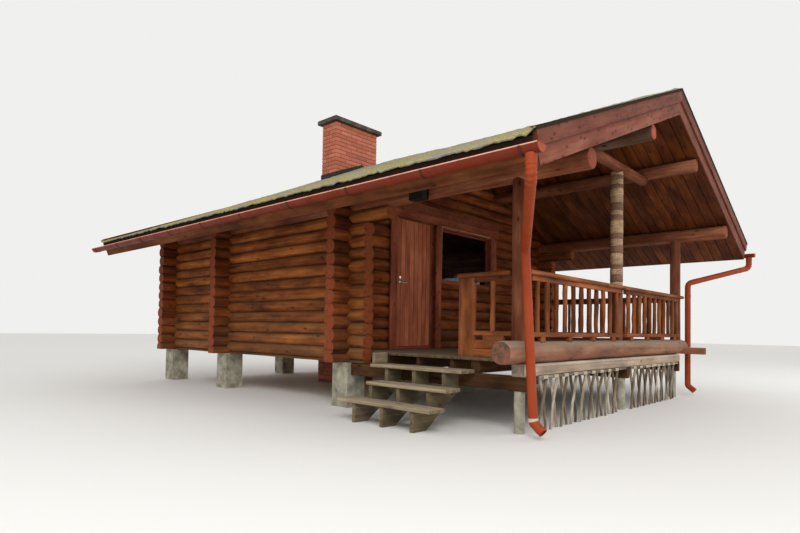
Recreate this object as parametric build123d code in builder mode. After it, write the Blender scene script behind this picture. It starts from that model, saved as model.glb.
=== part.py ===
from build123d import *
from math import cos, pi, radians, sin, tan
import os

# Log cabin with a covered porch. Millimetres, +Z up, ground at Z = 0.
# +X runs to the right along the front gable, +Y runs back along the ridge.
# The origin lies on the ground under the middle of the roof.

os.makedirs("parts", exist_ok=True)

# Driving dimensions of the plan
wall_half_span = 2480      # centre line of each long wall from the ridge line
porch_depth = 2600         # porch posts to the front wall
front_room = 2980          # front wall to the inner wall
back_room = 1920           # inner wall to the rear wall
front_overhang = 775       # outer face of the front bargeboards before the post line
rear_overhang = 705        # outer face of the rear bargeboards behind the rear wall
fit_gap = 0.3              # between scribed pieces

# Driving heights
base_level = 578           # underside of the lowest logs
deck_level = 735
floor_level = 770
floor_bearing = 10         # floor's underside below the centre of the logs it meets
head_level = 2680          # top of the door and window opening
sill_level = 1740          # bottom of the window opening
plate_level = 2635         # centre of the logs that carry the eaves

# Foundation blocks
pier_width = 300
middle_pier_x = 650        # beside the chimney

# Logs
log_radius = 98
cut_margin = 10            # how far a cutting outline passes what it cuts
log_sides = 10             # the round logs are cut with flats
log_pitch = 162
log_stub = 360             # how far a crossing log runs past the wall it crosses
corbel_reach = 740         # second log of the long walls, past the front wall
plate_radius = 102
purlin_radius = 89
purlin_x = 840
purlin_end_gap = 60        # purlin ends behind the bargeboards
bolster_radius = 70
bolster_left = 970         # ends from the ridge line
bolster_right = 860
bolster_drop = 95          # centre of the bolster log under the purlins' centre

# Roof
roof_pitch = 22.4
roof_thickness = 300       # square to the slope
eave_overhang = 1154       # top edge of the eave beyond the long wall's centre line
barge_thickness = 28
barge_board = 150          # width of each of the two boards
barge_lap = 22             # upper board proud of the lower one
fascia_thickness = 24

# Porch
post_radius = 80
post_wrap_radius = 82
post_back = 40             # posts' centres behind the sill log's centre
post_seat = 40             # posts begin this far above the sill log's centre
sill_log_radius = 115
sill_log_left = 395        # ends beyond the long walls' centre lines
sill_log_right = 180
stub_width = 100           # side sill's end, seen in front of the sill log on the right
stub_depth = 108
stub_front = 415
timber_left = 130
timber_right = -230
timber_depth = 122
timber_width = 150
timber_forward = 25
timber_drop = 45           # top of the squared timber under the deck's face
deck_thickness = 32
deck_side = 100            # deck beyond the long walls' centre lines
deck_side_end = 1840       # beyond this the deck lies between the walls
deck_gap = 1               # deck from the sill log
joists = ((525, 110), (840, 50), (1330, 50), (1820, 50))    # place and width
joist_inset = 30
bearer_width = 90
bearer_depth = 150
bearer_nose = 100
outer_bearer = 50          # left bearer outside the left wall's centre line
middle_bearer_x = 60
inner_bearer = 280         # right bearer inside the right wall's centre line
pier_radius = 55
pier_sides = 16

# Railing
rail_y = -40               # railing line from the post line
rail_top = 1637
handrail_width = 120
handrail_thickness = 45
subrail_width = 44
subrail_depth = 55
bottom_rail_top = 1010
bottom_rail_depth = 50
baluster_radius = 27
baluster_sides = 8
baluster_spacing = 206
newel_width = 210
newel_thickness = 50
newel_y = 685              # centre of the newel board behind the post line
side_baluster_y = 360      # single baluster of the short left rail
curb_thickness = 48
curb_top = 920
side_rail_top = 1017       # bottom rail of the side railings
side_rail_depth = 50
side_block = (215, 473)    # block between the curb and the bottom rail
side_block_pitch = 585
side_first = 266           # first baluster of the right railing
rail_foot_width = 85       # blocks under the front bottom rail
rail_foot_step = 3         # one block every so many balusters
rail_joint = 1             # between the two front railings
curb_gap = 5               # curb from the sill log

# Stairs
tread_first = 607          # top of the highest tread
tread_rise = 180
tread_going = 250
tread_joint = 1            # between one tread and the next
tread_clear = 2            # first tread from the deck's edge
tread_thickness = 38
stair_from = 500           # behind the post line
tread_widths = (1333, 1145, 1340)
cheek_thickness = 48       # board on edge at the far end of the highest tread
cheek_length = 215
stringer_width = 48
stringer_middle = 1165
stringer_spacing = 420
stringer_foot = 190
stringer_depth = 200
nosing = 25

# Door and window in the front wall
door_left = -1735          # opening edges
door_right = -790
window_right = 700
leaf_left = -1660
leaf_right = -895
leaf_top = 2620
leaf_thickness = 45
leaf_gap = 5
latch_gap = 8              # the free edge swings out past its own width
stop_lap = 15
leaf_ahead = 54            # outer face in front of the wall's middle
hinge_proud = 8
hinge_radius = 7.7
hinge_sides = 12
hinge_plate = 38
hinge_length = 110
hinge_levels = (1020, 1700, 2380)
casing_thickness = 28
casing_width = 140
casing_lap = 42            # over the frames
middle_casing_left = -825
middle_casing_width = 125
window_casing_width = 170
window_drop = 60           # casing below the sill
header_left = -1880
header_right = 880
handle_x = leaf_left + 85
handle_level = 1690
key_plate_rise = 75
rose_radius = 24
rose_sides = 20
rose_thickness = 9
lever_radius = 9
lever_sides = 10
lever_length = 135
lever_stand = 46           # lever's centre in front of the leaf
header_bottom = 2630
header_top = 2880
window_frame_width = 40
window_jamb_left = 90
window_head = 90
glass_thickness = 12

# Doorway in the inner wall
inner_door_left = 900
inner_door_right = 1700

# Chimney
chimney_left = -670
chimney_width = 1070
chimney_depth = 400
chimney_top = 5005
cap_thickness = 75
cap_reach = 70
chimney_clear = 10         # floor and roof round the stack
flashing_thickness = 12
flashing_height = 150

# Gutters
gutter_radius = 62
gutter_wall = 4
gutter_overrun = 95
gutter_drop = 177          # gutter's lip under the roof's top edge
gutter_flats = 8           # flats of the half-round trough
hook_count = 10
hook_inset = 60
hook_width = 25
hook_thickness = 5
pipe_radius = 47
pipe_sides = 16
pipe_bend = 90             # length cut off each corner of an elbow
outlet_y = -785
elbow_high = 2175
# Beyond the wall's centre line, level of the lower elbow, then its place and the foot's before the post line
left_pipe = (220, 1790, 150, 250)
right_pipe = (240, 1868, 87, 87)
shoe_clear = 25            # under the shoe
shoe_rise = 85
shoe_reach = 105

# Lamp on the left eave log
lamp_y = 1275              # behind the post line
lamp_length = 200
lamp_width = 120
lamp_height = 150
lamp_rim = 12
lamp_recess = 15

# Lattice skirt
lattice_pitch = 232
stick_size = 24
lattice_forward = 60          # in front of the post line
lattice_rail = 30
lean_top = 60
lean_foot = 90
stick_half = 14
lattice_inset = 200        # first panel from the left bearer
lattice_clear = 30         # panels from the middle pier
lattice_end = 10           # right panel from the right pier

# Derived places
slope = tan(radians(roof_pitch))
per_slope = cos(radians(roof_pitch))
roof_length = front_overhang + porch_depth + front_room + back_room + rear_overhang
y_front = -roof_length / 2
y_back = roof_length / 2
y_post = y_front + front_overhang
y_wall = y_post + porch_depth
y_inner = y_wall + front_room
y_rear = y_inner + back_room
soffit_apex = plate_level + plate_radius / per_slope + slope * wall_half_span
roof_apex = soffit_apex + roof_thickness / per_slope
purlin_level = soffit_apex - slope * purlin_x - purlin_radius / per_slope
bolster_level = purlin_level - bolster_drop
course_count = int((plate_level - base_level) // log_pitch) + 1
side_levels = [plate_level - log_pitch * k for k in range(1, course_count + 1)]
cross_levels = [plate_level + log_pitch * (k - 0.5) for k in range(-course_count, 8)]
timber_top = deck_level - timber_drop
sill_log_level = timber_top + sill_log_radius
y_stand = y_post + post_back
wall_in = wall_half_span - log_radius
stub_end = wall_half_span + log_stub
eave_reach = wall_half_span + eave_overhang
deck_half = wall_half_span + deck_side
bearer_x = (-wall_half_span - outer_bearer, middle_bearer_x, wall_half_span - inner_bearer)
log_turn = 180 / log_sides
hinge_x = leaf_right
hinge_y = y_wall - leaf_ahead - hinge_proud


def finish(builder, label):
    builder.part.label = label
    export_step(builder.part, f"parts/{label}.step")


def soffit_at(x):
    return soffit_apex - slope * abs(x)


def roof_at(x):
    return roof_apex - slope * abs(x)


gutter_level = roof_at(eave_reach) - gutter_drop
baluster_count = int((wall_half_span - post_radius - baluster_spacing / 2) // baluster_spacing)


def section_plane(y):
    """Upright plane across the house, local x and y are X and Z."""
    return Plane.XZ.offset(-y)


# Foundation
with BuildPart() as cabin_piers:
    with BuildSketch():
        with Locations([(x, y) for x in (-wall_half_span, wall_half_span)
                        for y in (y_wall, y_inner, y_rear)]):
            Rectangle(pier_width, pier_width)
        with Locations((0, y_wall), (middle_pier_x, y_inner), (0, y_rear)):
            Rectangle(pier_width, pier_width)
    extrude(amount=base_level - fit_gap)
finish(cabin_piers, "cabin_piers")

bearer_top = timber_top - timber_depth
with BuildPart() as porch_piers:
    with BuildSketch():
        with Locations([(x, y_post) for x in bearer_x]):
            RegularPolygon(pier_radius, pier_sides)
    extrude(amount=bearer_top - bearer_depth)
finish(porch_piers, "porch_piers")


# Walls of round logs, each course scribed to the one below
def side_wall(x):
    with BuildPart() as wall:
        with BuildSketch(section_plane(y_rear + log_stub)):
            with Locations([(x, z) for z in side_levels]):
                RegularPolygon(log_radius, log_sides, major_radius=False, rotation=log_turn)
        extrude(amount=y_rear - y_wall + 2 * log_stub)
        with BuildSketch(section_plane(y_wall)):
            with Locations((x, side_levels[0])):
                RegularPolygon(log_radius, log_sides, major_radius=False, rotation=log_turn)
        extrude(amount=corbel_reach)
        with BuildSketch(section_plane(y_back)):
            with Locations((x, plate_level)):
                Circle(plate_radius + fit_gap)
            with Locations((x, base_level - log_radius)):
                Rectangle(3 * log_radius, 2 * log_radius)
        extrude(amount=roof_length, mode=Mode.SUBTRACT)
    return wall


for side, label in ((-1, "left_wall"), (1, "right_wall")):
    wall = side_wall(side * wall_half_span)
    finish(wall, label)


def cross_wall(y, x_from, x_to, z_from, z_to):
    """A stretch of log wall across the house, notched over the long logs."""
    with BuildPart() as wall:
        with BuildSketch(Plane.YZ.offset(x_from)):
            with Locations([(y, z) for z in cross_levels if z_from - log_radius < z < z_to + log_radius]):
                RegularPolygon(log_radius, log_sides, major_radius=False, rotation=log_turn)
        extrude(amount=x_to - x_from)
        with BuildSketch(section_plane(y + log_radius)):
            with BuildLine():
                low = base_level - cut_margin
                end = stub_end + cut_margin
                Polyline(
                    (-end, low), (end, low), (end, soffit_at(end) - fit_gap),
                    (0, soffit_apex - fit_gap), (-end, soffit_at(end) - fit_gap), close=True)
            make_face()
            with Locations(((x_from + x_to) / 2, (z_from + z_to) / 2)):
                Rectangle(x_to - x_from, z_to - z_from, mode=Mode.INTERSECT)
        extrude(amount=2 * log_radius, mode=Mode.INTERSECT)
        with BuildSketch(section_plane(y + log_radius)):
            for side in (-1, 1):
                with Locations([(side * wall_half_span, z) for z in side_levels]):
                    RegularPolygon(log_radius + fit_gap, log_sides, major_radius=False, rotation=log_turn)
                with Locations((side * wall_half_span, plate_level)):
                    Circle(plate_radius + fit_gap)
                with Locations((side * purlin_x, purlin_level)):
                    Circle(purlin_radius + fit_gap)
        extrude(amount=2 * log_radius, mode=Mode.SUBTRACT)
    return wall


front_lower = cross_wall(y_wall, -stub_end, stub_end, base_level, deck_level)
finish(front_lower, "front_wall_lower")
front_left = cross_wall(y_wall, -stub_end, door_left, deck_level, head_level)
finish(front_left, "front_wall_left")
front_under = cross_wall(y_wall, door_right, stub_end, deck_level, sill_level)
finish(front_under, "front_wall_under_window")
front_right = cross_wall(y_wall, window_right, stub_end, sill_level, head_level)
finish(front_right, "front_wall_right")
front_gable = cross_wall(y_wall, -stub_end, stub_end, head_level, roof_apex)
finish(front_gable, "front_gable")

inner_left = cross_wall(y_inner, -stub_end, inner_door_left, base_level, head_level)
finish(inner_left, "inner_wall_left")
inner_right = cross_wall(y_inner, inner_door_right, stub_end, base_level, head_level)
finish(inner_right, "inner_wall_right")
inner_gable = cross_wall(y_inner, -stub_end, stub_end, head_level, roof_apex)
finish(inner_gable, "inner_gable")
rear_wall = cross_wall(y_rear, -stub_end, stub_end, base_level, roof_apex)
finish(rear_wall, "rear_wall")

# Floor inside, one slab a room, seated on the logs at their widest
floor_bottom = side_levels[-2] - floor_bearing
with BuildPart() as cabin_floor:
    with BuildSketch(Plane.XY.offset(floor_bottom)):
        for y_a, y_b in ((y_wall, y_inner), (y_inner, y_rear)):
            room = y_b - y_a - 2 * log_radius - 2 * fit_gap
            with Locations((0, (y_a + y_b) / 2)):
                Rectangle(2 * (wall_in - fit_gap), room)
        with Locations(((inner_door_left + inner_door_right) / 2, y_inner)):
            Rectangle(inner_door_right - inner_door_left - 2 * fit_gap, 4 * log_radius)
        with Locations((chimney_left + chimney_width / 2, y_inner - log_radius - chimney_depth / 2)):
            Rectangle(chimney_width + 2 * chimney_clear, chimney_depth + 2 * chimney_clear,
                      mode=Mode.SUBTRACT)
    extrude(amount=floor_level - floor_bottom)
finish(cabin_floor, "cabin_floor")

# Porch deck and what carries it
with BuildPart() as porch_deck:
    with BuildSketch(Plane.XY.offset(deck_level - deck_thickness)):
        y_a = y_post + sill_log_radius + deck_gap
        y_b = y_post + deck_side_end
        y_c = y_wall - log_radius - fit_gap
        with Locations((0, (y_a + y_b) / 2)):
            Rectangle(2 * deck_half, y_b - y_a)
        y_stub = y_wall - log_stub - fit_gap
        with Locations(((deck_half - wall_in) / 2, (y_b + y_stub) / 2)):
            Rectangle(deck_half + wall_in, y_stub - y_b)
        with Locations((0, (y_stub + y_c) / 2)):
            Rectangle(2 * (wall_in - fit_gap), y_c - y_stub)
    extrude(amount=deck_thickness)
finish(porch_deck, "porch_deck")

with BuildPart() as deck_frame:
    with BuildSketch(Plane.XY.offset(bearer_top)):
        for place, width in joists:
            with Locations((0, y_post + place)):
                Rectangle(2 * (deck_half - joist_inset), width)
    extrude(amount=deck_level - deck_thickness - bearer_top)
    with BuildSketch(Plane.XY.offset(bearer_top - bearer_depth)):
        y_a = y_post - bearer_nose
        y_b = y_wall - pier_width / 2 - fit_gap
        with Locations([(x, (y_a + y_b) / 2) for x in bearer_x]):
            Rectangle(bearer_width, y_b - y_a)
    extrude(amount=bearer_depth)
finish(deck_frame, "deck_frame")

with BuildPart() as sill_timber:
    with BuildSketch(Plane.XY.offset(bearer_top)):
        with Locations(((timber_right - timber_left) / 2, y_post - timber_forward)):
            Rectangle(2 * wall_half_span + timber_left + timber_right, timber_width)
    extrude(amount=timber_depth)
finish(sill_timber, "porch_sill_timber")

with BuildPart() as sill_log:
    with BuildSketch(Plane.YZ.offset(-wall_half_span - sill_log_left)):
        with Locations((y_post, sill_log_level)):
            Circle(sill_log_radius)
    extrude(amount=2 * wall_half_span + sill_log_left + sill_log_right)
    with BuildSketch(Plane.XY.offset(timber_top)):
        with Locations((wall_half_span, y_post - stub_front / 2)):
            Rectangle(stub_width, stub_front)
    extrude(amount=stub_depth)
finish(sill_log, "porch_sill_log")


# Porch posts stand on the sill log and are scribed to what they carry
def porch_post(x, radius, top):
    with BuildPart() as post:
        with BuildSketch(Plane.XY.offset(sill_log_level + post_seat)):
            with Locations((x, y_stand)):
                Circle(radius)
        extrude(amount=top - sill_log_level - post_seat)
        with BuildSketch(Plane.YZ.offset(x - 2 * radius)):
            with Locations((y_post, sill_log_level)):
                Circle(sill_log_radius + fit_gap)
        extrude(amount=4 * radius, mode=Mode.SUBTRACT)
        if x:
            with BuildSketch(section_plane(y_stand + 2 * radius)):
                with Locations((x, plate_level)):
                    Circle(plate_radius + fit_gap)
            extrude(amount=4 * radius, mode=Mode.SUBTRACT)
        else:
            with BuildSketch(Plane.YZ.offset(-2 * radius)):
                with Locations((y_post, bolster_level)):
                    Circle(bolster_radius + fit_gap)
            extrude(amount=4 * radius, mode=Mode.SUBTRACT)
    return post


finish(porch_post(-wall_half_span, post_radius, plate_level - plate_radius / 2), "porch_post_left")
finish(porch_post(0, post_wrap_radius, bolster_level - bolster_radius / 2), "porch_post_middle")
finish(porch_post(wall_half_span, post_radius, plate_level - plate_radius / 2), "porch_post_right")

with BuildPart() as bolster:
    with BuildSketch(Plane.YZ.offset(-bolster_left)):
        with Locations((y_post, bolster_level)):
            Circle(bolster_radius)
    extrude(amount=bolster_left + bolster_right)
    with BuildSketch(section_plane(y_post + 2 * bolster_radius)):
        with Locations((-purlin_x, purlin_level), (purlin_x, purlin_level)):
            Circle(purlin_radius + fit_gap)
    extrude(amount=4 * bolster_radius, mode=Mode.SUBTRACT)
finish(bolster, "bolster_log")


def roof_log(x, z, radius):
    with BuildPart() as log:
        with BuildSketch(section_plane(y_back - purlin_end_gap)):
            with Locations((x, z)):
                Circle(radius)
        extrude(amount=roof_length - 2 * purlin_end_gap)
    return log


finish(roof_log(-wall_half_span, plate_level, plate_radius), "plate_log_left")
finish(roof_log(wall_half_span, plate_level, plate_radius), "plate_log_right")
finish(roof_log(-purlin_x, purlin_level, purlin_radius), "purlin_log_left")
finish(roof_log(purlin_x, purlin_level, purlin_radius), "purlin_log_right")

# Lamp: a box on the outer side of the left eave log, its face set back in a rim
with BuildPart() as eave_lamp:
    lamp_x = -wall_half_span - plate_radius - fit_gap - lamp_width / 2
    lamp_level = soffit_at(lamp_x - lamp_width / 2) - fit_gap - lamp_height / 2
    with BuildSketch(section_plane(y_post + lamp_y + lamp_length / 2)):
        with Locations((lamp_x, lamp_level)):
            Rectangle(lamp_width, lamp_height)
    extrude(amount=lamp_length)
    with BuildSketch(section_plane(y_post + lamp_y - lamp_length / 2 + lamp_recess)):
        with Locations((lamp_x, lamp_level)):
            Rectangle(lamp_width - 2 * lamp_rim, lamp_height - 2 * lamp_rim)
    extrude(amount=lamp_recess, mode=Mode.SUBTRACT)
finish(eave_lamp, "eave_lamp")

# Roof: a thick slab each side of the ridge, cut square at the eaves
across = roof_thickness * sin(radians(roof_pitch))
lift = fit_gap / per_slope


def roof_slab(side):
    with BuildPart() as slab:
        with BuildSketch(section_plane(y_back - barge_thickness)):
            with BuildLine():
                Polyline(
                    (0, soffit_apex + lift), (0, roof_apex),
                    (side * eave_reach, roof_at(eave_reach)),
                    (side * (eave_reach - across), soffit_at(eave_reach - across) + lift), close=True)
            make_face()
        extrude(amount=roof_length - 2 * barge_thickness)
        with BuildSketch(Plane.XY.offset(soffit_at(2 * purlin_x))):
            with Locations((chimney_left + chimney_width / 2, y_inner - log_radius - chimney_depth / 2)):
                Rectangle(chimney_width + chimney_clear, chimney_depth + chimney_clear)
        extrude(amount=roof_apex, mode=Mode.SUBTRACT)
    return slab


finish(roof_slab(-1), "roof_left")
finish(roof_slab(1), "roof_right")


def bargeboard(side, y_outer, facing):
    """Two boards along the slope, the upper one proud of the lower."""
    inner = y_outer - facing * barge_thickness
    with BuildPart() as board:
        for top_drop, low_drop, proud in ((0, barge_board, 0), (barge_board, 2 * barge_board, barge_lap)):
            y_face = y_outer - facing * proud
            with BuildSketch(section_plane(max(y_face, inner))):
                with BuildLine():
                    t = top_drop / per_slope
                    b = low_drop / per_slope
                    skew_t = top_drop * sin(radians(roof_pitch))
                    skew_b = low_drop * sin(radians(roof_pitch))
                    Polyline(
                        (0, roof_apex - t), (side * (eave_reach - skew_t), roof_at(eave_reach - skew_t) - t),
                        (side * (eave_reach - skew_b), roof_at(eave_reach - skew_b) - b),
                        (0, roof_apex - b), close=True)
                make_face()
            extrude(amount=abs(y_face - inner))
    return board


finish(bargeboard(-1, y_front, -1), "bargeboard_front_left")
finish(bargeboard(1, y_front, -1), "bargeboard_front_right")
finish(bargeboard(-1, y_back, 1), "bargeboard_rear_left")
finish(bargeboard(1, y_back, 1), "bargeboard_rear_right")


def fascia(side):
    with BuildPart() as board:
        with BuildSketch(section_plane(y_back - barge_thickness)):
            with BuildLine():
                out_x = fascia_thickness * per_slope
                out_z = -fascia_thickness * sin(radians(roof_pitch))
                x_top = eave_reach
                z_top = roof_at(eave_reach)
                x_low = eave_reach - across
                z_low = soffit_at(x_low)
                Polyline(
                    (side * x_top, z_top), (side * (x_top + out_x), z_top + out_z),
                    (side * (x_low + out_x), z_low + out_z), (side * x_low, z_low), close=True)
            make_face()
        extrude(amount=roof_length - 2 * barge_thickness)
    return board


finish(fascia(-1), "fascia_left")
finish(fascia(1), "fascia_right")

# Chimney: one stack of brick from the ground, a slab on top and a skirt of sheet at the roof
chimney_x = chimney_left + chimney_width / 2
chimney_y = y_inner - log_radius - fit_gap - chimney_depth / 2
with BuildPart() as chimney:
    with BuildSketch():
        with Locations((chimney_x, chimney_y)):
            Rectangle(chimney_width, chimney_depth)
    extrude(amount=chimney_top - cap_thickness)
finish(chimney, "chimney_stack")

with BuildPart() as chimney_cap:
    with BuildSketch(Plane.XY.offset(chimney_top - cap_thickness)):
        with Locations((chimney_x, chimney_y)):
            Rectangle(chimney_width + 2 * cap_reach, chimney_depth + 2 * cap_reach)
    extrude(amount=cap_thickness)
finish(chimney_cap, "chimney_cap")

with BuildPart() as flashing:
    with BuildSketch(section_plane(chimney_y + chimney_depth / 2 + flashing_thickness)):
        with BuildLine():
            x_a = chimney_left - flashing_thickness
            x_b = chimney_left + chimney_width + flashing_thickness
            Polyline(
                (x_a, roof_at(x_a) + fit_gap), (0, roof_apex + fit_gap), (x_b, roof_at(x_b) + fit_gap),
                (x_b, roof_at(x_b) + flashing_height), (0, roof_apex + flashing_height),
                (x_a, roof_at(x_a) + flashing_height), close=True)
        make_face()
    extrude(amount=chimney_depth + 2 * flashing_thickness)
    with BuildSketch():
        with Locations((chimney_x, chimney_y)):
            Rectangle(chimney_width + 2 * fit_gap, chimney_depth + 2 * fit_gap)
    extrude(amount=2 * roof_apex, mode=Mode.SUBTRACT)
finish(flashing, "chimney_flashing")


# Gutters and downpipes
def fascia_face(z):
    """How far out the fascia's outer face is at a height, less the fit."""
    return eave_reach + fascia_thickness / per_slope - (roof_at(eave_reach) - z) * slope + fit_gap


def half_round(x, radius, inner_radius=0):
    """Points of a trough's section, or of a half disc."""
    turns = [pi + pi * k / gutter_flats for k in range(gutter_flats + 1)]
    points = [(x + radius * cos(a), gutter_level + radius * sin(a)) for a in turns]
    if inner_radius:
        points += [(x + inner_radius * cos(a), gutter_level + inner_radius * sin(a)) for a in reversed(turns)]
    return points


def gutter(side):
    x_mid = side * (eave_reach + fascia_thickness + gutter_radius)
    x_face = fascia_face(gutter_level)
    x_arm = eave_reach + fascia_thickness + gutter_wall / 2
    with BuildPart() as trough:
        with BuildSketch(section_plane(y_back + gutter_overrun)):
            with BuildLine():
                Polyline(half_round(x_mid, gutter_radius, gutter_radius - gutter_wall), close=True)
            make_face()
        extrude(amount=roof_length + 2 * gutter_overrun)
        for y in (y_back + gutter_overrun, y_front - gutter_overrun + gutter_wall):
            with BuildSketch(section_plane(y)):
                with BuildLine():
                    Polyline(half_round(x_mid, gutter_radius), close=True)
                make_face()
            extrude(amount=gutter_wall)
        # Hooks: a strap under the trough and an arm back to the fascia
        for k in range(hook_count):
            y = y_front + hook_inset + k * (roof_length - 2 * hook_inset) / (hook_count - 1)
            with BuildSketch(section_plane(y + hook_width / 2)):
                with BuildLine():
                    strap = half_round(x_mid, gutter_radius + hook_thickness, gutter_radius - gutter_wall / 2)
                    Polyline(strap, close=True)
                make_face()
                with Locations((side * (x_face + x_arm) / 2, gutter_level - hook_thickness)):
                    Rectangle(x_arm - x_face, 2 * hook_thickness)
            extrude(amount=hook_width)
    return trough


finish(gutter(-1), "gutter_left")
finish(gutter(1), "gutter_right")


def cut_corners(corners):
    """The path with each corner replaced by a short straight."""
    points = [Vector(corners[0])]
    for before, corner, after in zip(corners, corners[1:], corners[2:]):
        middle = Vector(corner)
        points.append(middle + (Vector(before) - middle).normalized() * pipe_bend)
        points.append(middle + (Vector(after) - middle).normalized() * pipe_bend)
    points.append(Vector(corners[-1]))
    return points


def downpipe(side, out, elbow_low, top_forward, foot_forward):
    x_out = side * (eave_reach + fascia_thickness + gutter_radius)
    x_in = side * (wall_half_span + out)
    foot = pipe_radius + shoe_clear
    corners = [
        (x_out, y_post + outlet_y, gutter_level - gutter_radius / 3),
        (x_out, y_post + outlet_y, elbow_high),
        (x_in, y_post - top_forward, elbow_low),
        (x_in, y_post - foot_forward, foot + shoe_rise),
        (x_in, y_post - foot_forward - shoe_reach, foot)]
    with BuildPart() as pipe:
        with BuildLine() as route:
            Polyline(cut_corners(corners))
        with BuildSketch(Plane(origin=route.line @ 0, z_dir=route.line % 0)):
            RegularPolygon(pipe_radius, pipe_sides)
        sweep(path=route.line, transition=Transition.RIGHT)
        with BuildSketch(section_plane(y_post + outlet_y + 2 * pipe_radius)):
            with BuildLine():
                Polyline(half_round(x_out, gutter_radius + fit_gap), close=True)
            make_face()
        extrude(amount=4 * pipe_radius, mode=Mode.SUBTRACT)
    return pipe


finish(downpipe(-1, *left_pipe), "downpipe_left")
finish(downpipe(1, *right_pipe), "downpipe_right")

# Door: frame, leaf, lever handle and hinges
leaf_width = leaf_right - leaf_left
leaf_bottom = floor_level + leaf_gap
y_leaf = y_wall - leaf_ahead
y_frame_back = y_wall + log_radius
with BuildPart() as door_frame:
    with BuildSketch(section_plane(y_frame_back)):
        with Locations(((door_left + door_right) / 2, (deck_level + head_level) / 2)):
            Rectangle(door_right - door_left, head_level - deck_level)
        with Locations(((leaf_left + leaf_right) / 2, (leaf_bottom + leaf_top) / 2)):
            Rectangle(leaf_width - 2 * stop_lap, leaf_top - leaf_bottom - 2 * stop_lap, mode=Mode.SUBTRACT)
    extrude(amount=y_frame_back - y_leaf)
    with BuildSketch(section_plane(y_leaf + leaf_thickness + leaf_gap)):
        with Locations(((leaf_left - latch_gap + leaf_right + leaf_gap) / 2,
                        (floor_level + leaf_top + leaf_gap) / 2)):
            Rectangle(leaf_width + latch_gap + leaf_gap, leaf_top + leaf_gap - floor_level)
    extrude(amount=leaf_thickness + leaf_gap, mode=Mode.SUBTRACT)
finish(door_frame, "door_frame")

with BuildPart() as door_leaf:
    with BuildSketch(section_plane(y_leaf + leaf_thickness)):
        with Locations(((leaf_left + leaf_right) / 2, (leaf_bottom + leaf_top) / 2)):
            Rectangle(leaf_width, leaf_top - leaf_bottom)
    extrude(amount=leaf_thickness)
finish(door_leaf, "door_leaf")

with BuildPart() as door_handle:
    with BuildSketch(section_plane(y_leaf)):
        with Locations((handle_x, handle_level), (handle_x, handle_level + key_plate_rise)):
            RegularPolygon(rose_radius, rose_sides)
    extrude(amount=rose_thickness)
    with BuildSketch(section_plane(y_leaf)):
        with Locations((handle_x, handle_level)):
            RegularPolygon(lever_radius, lever_sides)
    extrude(amount=lever_stand + lever_radius)
    with BuildSketch(Plane.YZ.offset(handle_x - lever_radius)):
        with Locations((y_leaf - lever_stand, handle_level)):
            RegularPolygon(lever_radius, lever_sides)
    extrude(amount=lever_length)
finish(door_handle, "door_handle")

with BuildPart() as door_hinges:
    with BuildSketch():
        with Locations((hinge_x, hinge_y)):
            RegularPolygon(hinge_radius, hinge_sides)
    extrude(amount=leaf_top)
    with BuildSketch(section_plane(y_leaf - fit_gap)):
        with Locations([(hinge_x + hinge_plate / 2, z) for z in hinge_levels]):
            Rectangle(hinge_plate, hinge_length)
    extrude(amount=hinge_proud / 2)
    with BuildSketch(section_plane(y_leaf)):
        with Locations([(hinge_x, z) for z in hinge_levels]):
            Rectangle(3 * hinge_plate, hinge_length)
    extrude(amount=4 * hinge_radius, mode=Mode.INTERSECT)
finish(door_hinges, "door_hinges")

# Casing boards on the logs round the door and the window
y_case = y_wall - log_radius - fit_gap
with BuildPart() as casing:
    with BuildSketch(section_plane(y_case)):
        with Locations((door_left - casing_width / 2 + casing_lap, (deck_level + header_bottom) / 2)):
            Rectangle(casing_width, header_bottom - deck_level)
        with Locations((middle_casing_left + middle_casing_width / 2, (deck_level + header_bottom) / 2)):
            Rectangle(middle_casing_width, header_bottom - deck_level)
        with Locations((window_right - casing_lap + window_casing_width / 2,
                        (sill_level - window_drop + header_bottom) / 2)):
            Rectangle(window_casing_width, header_bottom - sill_level + window_drop)
        with Locations(((header_left + header_right) / 2, (header_bottom + header_top) / 2)):
            Rectangle(header_right - header_left, header_top - header_bottom)
    extrude(amount=casing_thickness)
finish(casing, "front_casing")

with BuildPart() as window_frame:
    x_mid = (door_right + window_right) / 2
    with BuildSketch(section_plane(y_wall + log_radius / 2)):
        with Locations((x_mid, (sill_level + head_level) / 2)):
            Rectangle(window_right - door_right, head_level - sill_level)
        with Locations(((door_right + window_jamb_left + window_right - window_frame_width) / 2,
                        (sill_level + window_frame_width + head_level - window_head) / 2)):
            Rectangle(window_right - window_frame_width - door_right - window_jamb_left,
                      head_level - window_head - sill_level - window_frame_width, mode=Mode.SUBTRACT)
    extrude(amount=1.5 * log_radius)
finish(window_frame, "window_frame")

with BuildPart() as window_glass:
    with BuildSketch(section_plane(y_wall)):
        with Locations(((door_right + window_jamb_left + window_right - window_frame_width) / 2,
                        (sill_level + window_frame_width + head_level - window_head) / 2)):
            Rectangle(window_right - window_frame_width - door_right - window_jamb_left - 2 * fit_gap,
                      head_level - window_head - sill_level - window_frame_width - 2 * fit_gap)
    extrude(amount=glass_thickness)
finish(window_glass, "window_glass")

# Railings
y_rail = y_post + rail_y
subrail_top = rail_top - handrail_thickness


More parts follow.
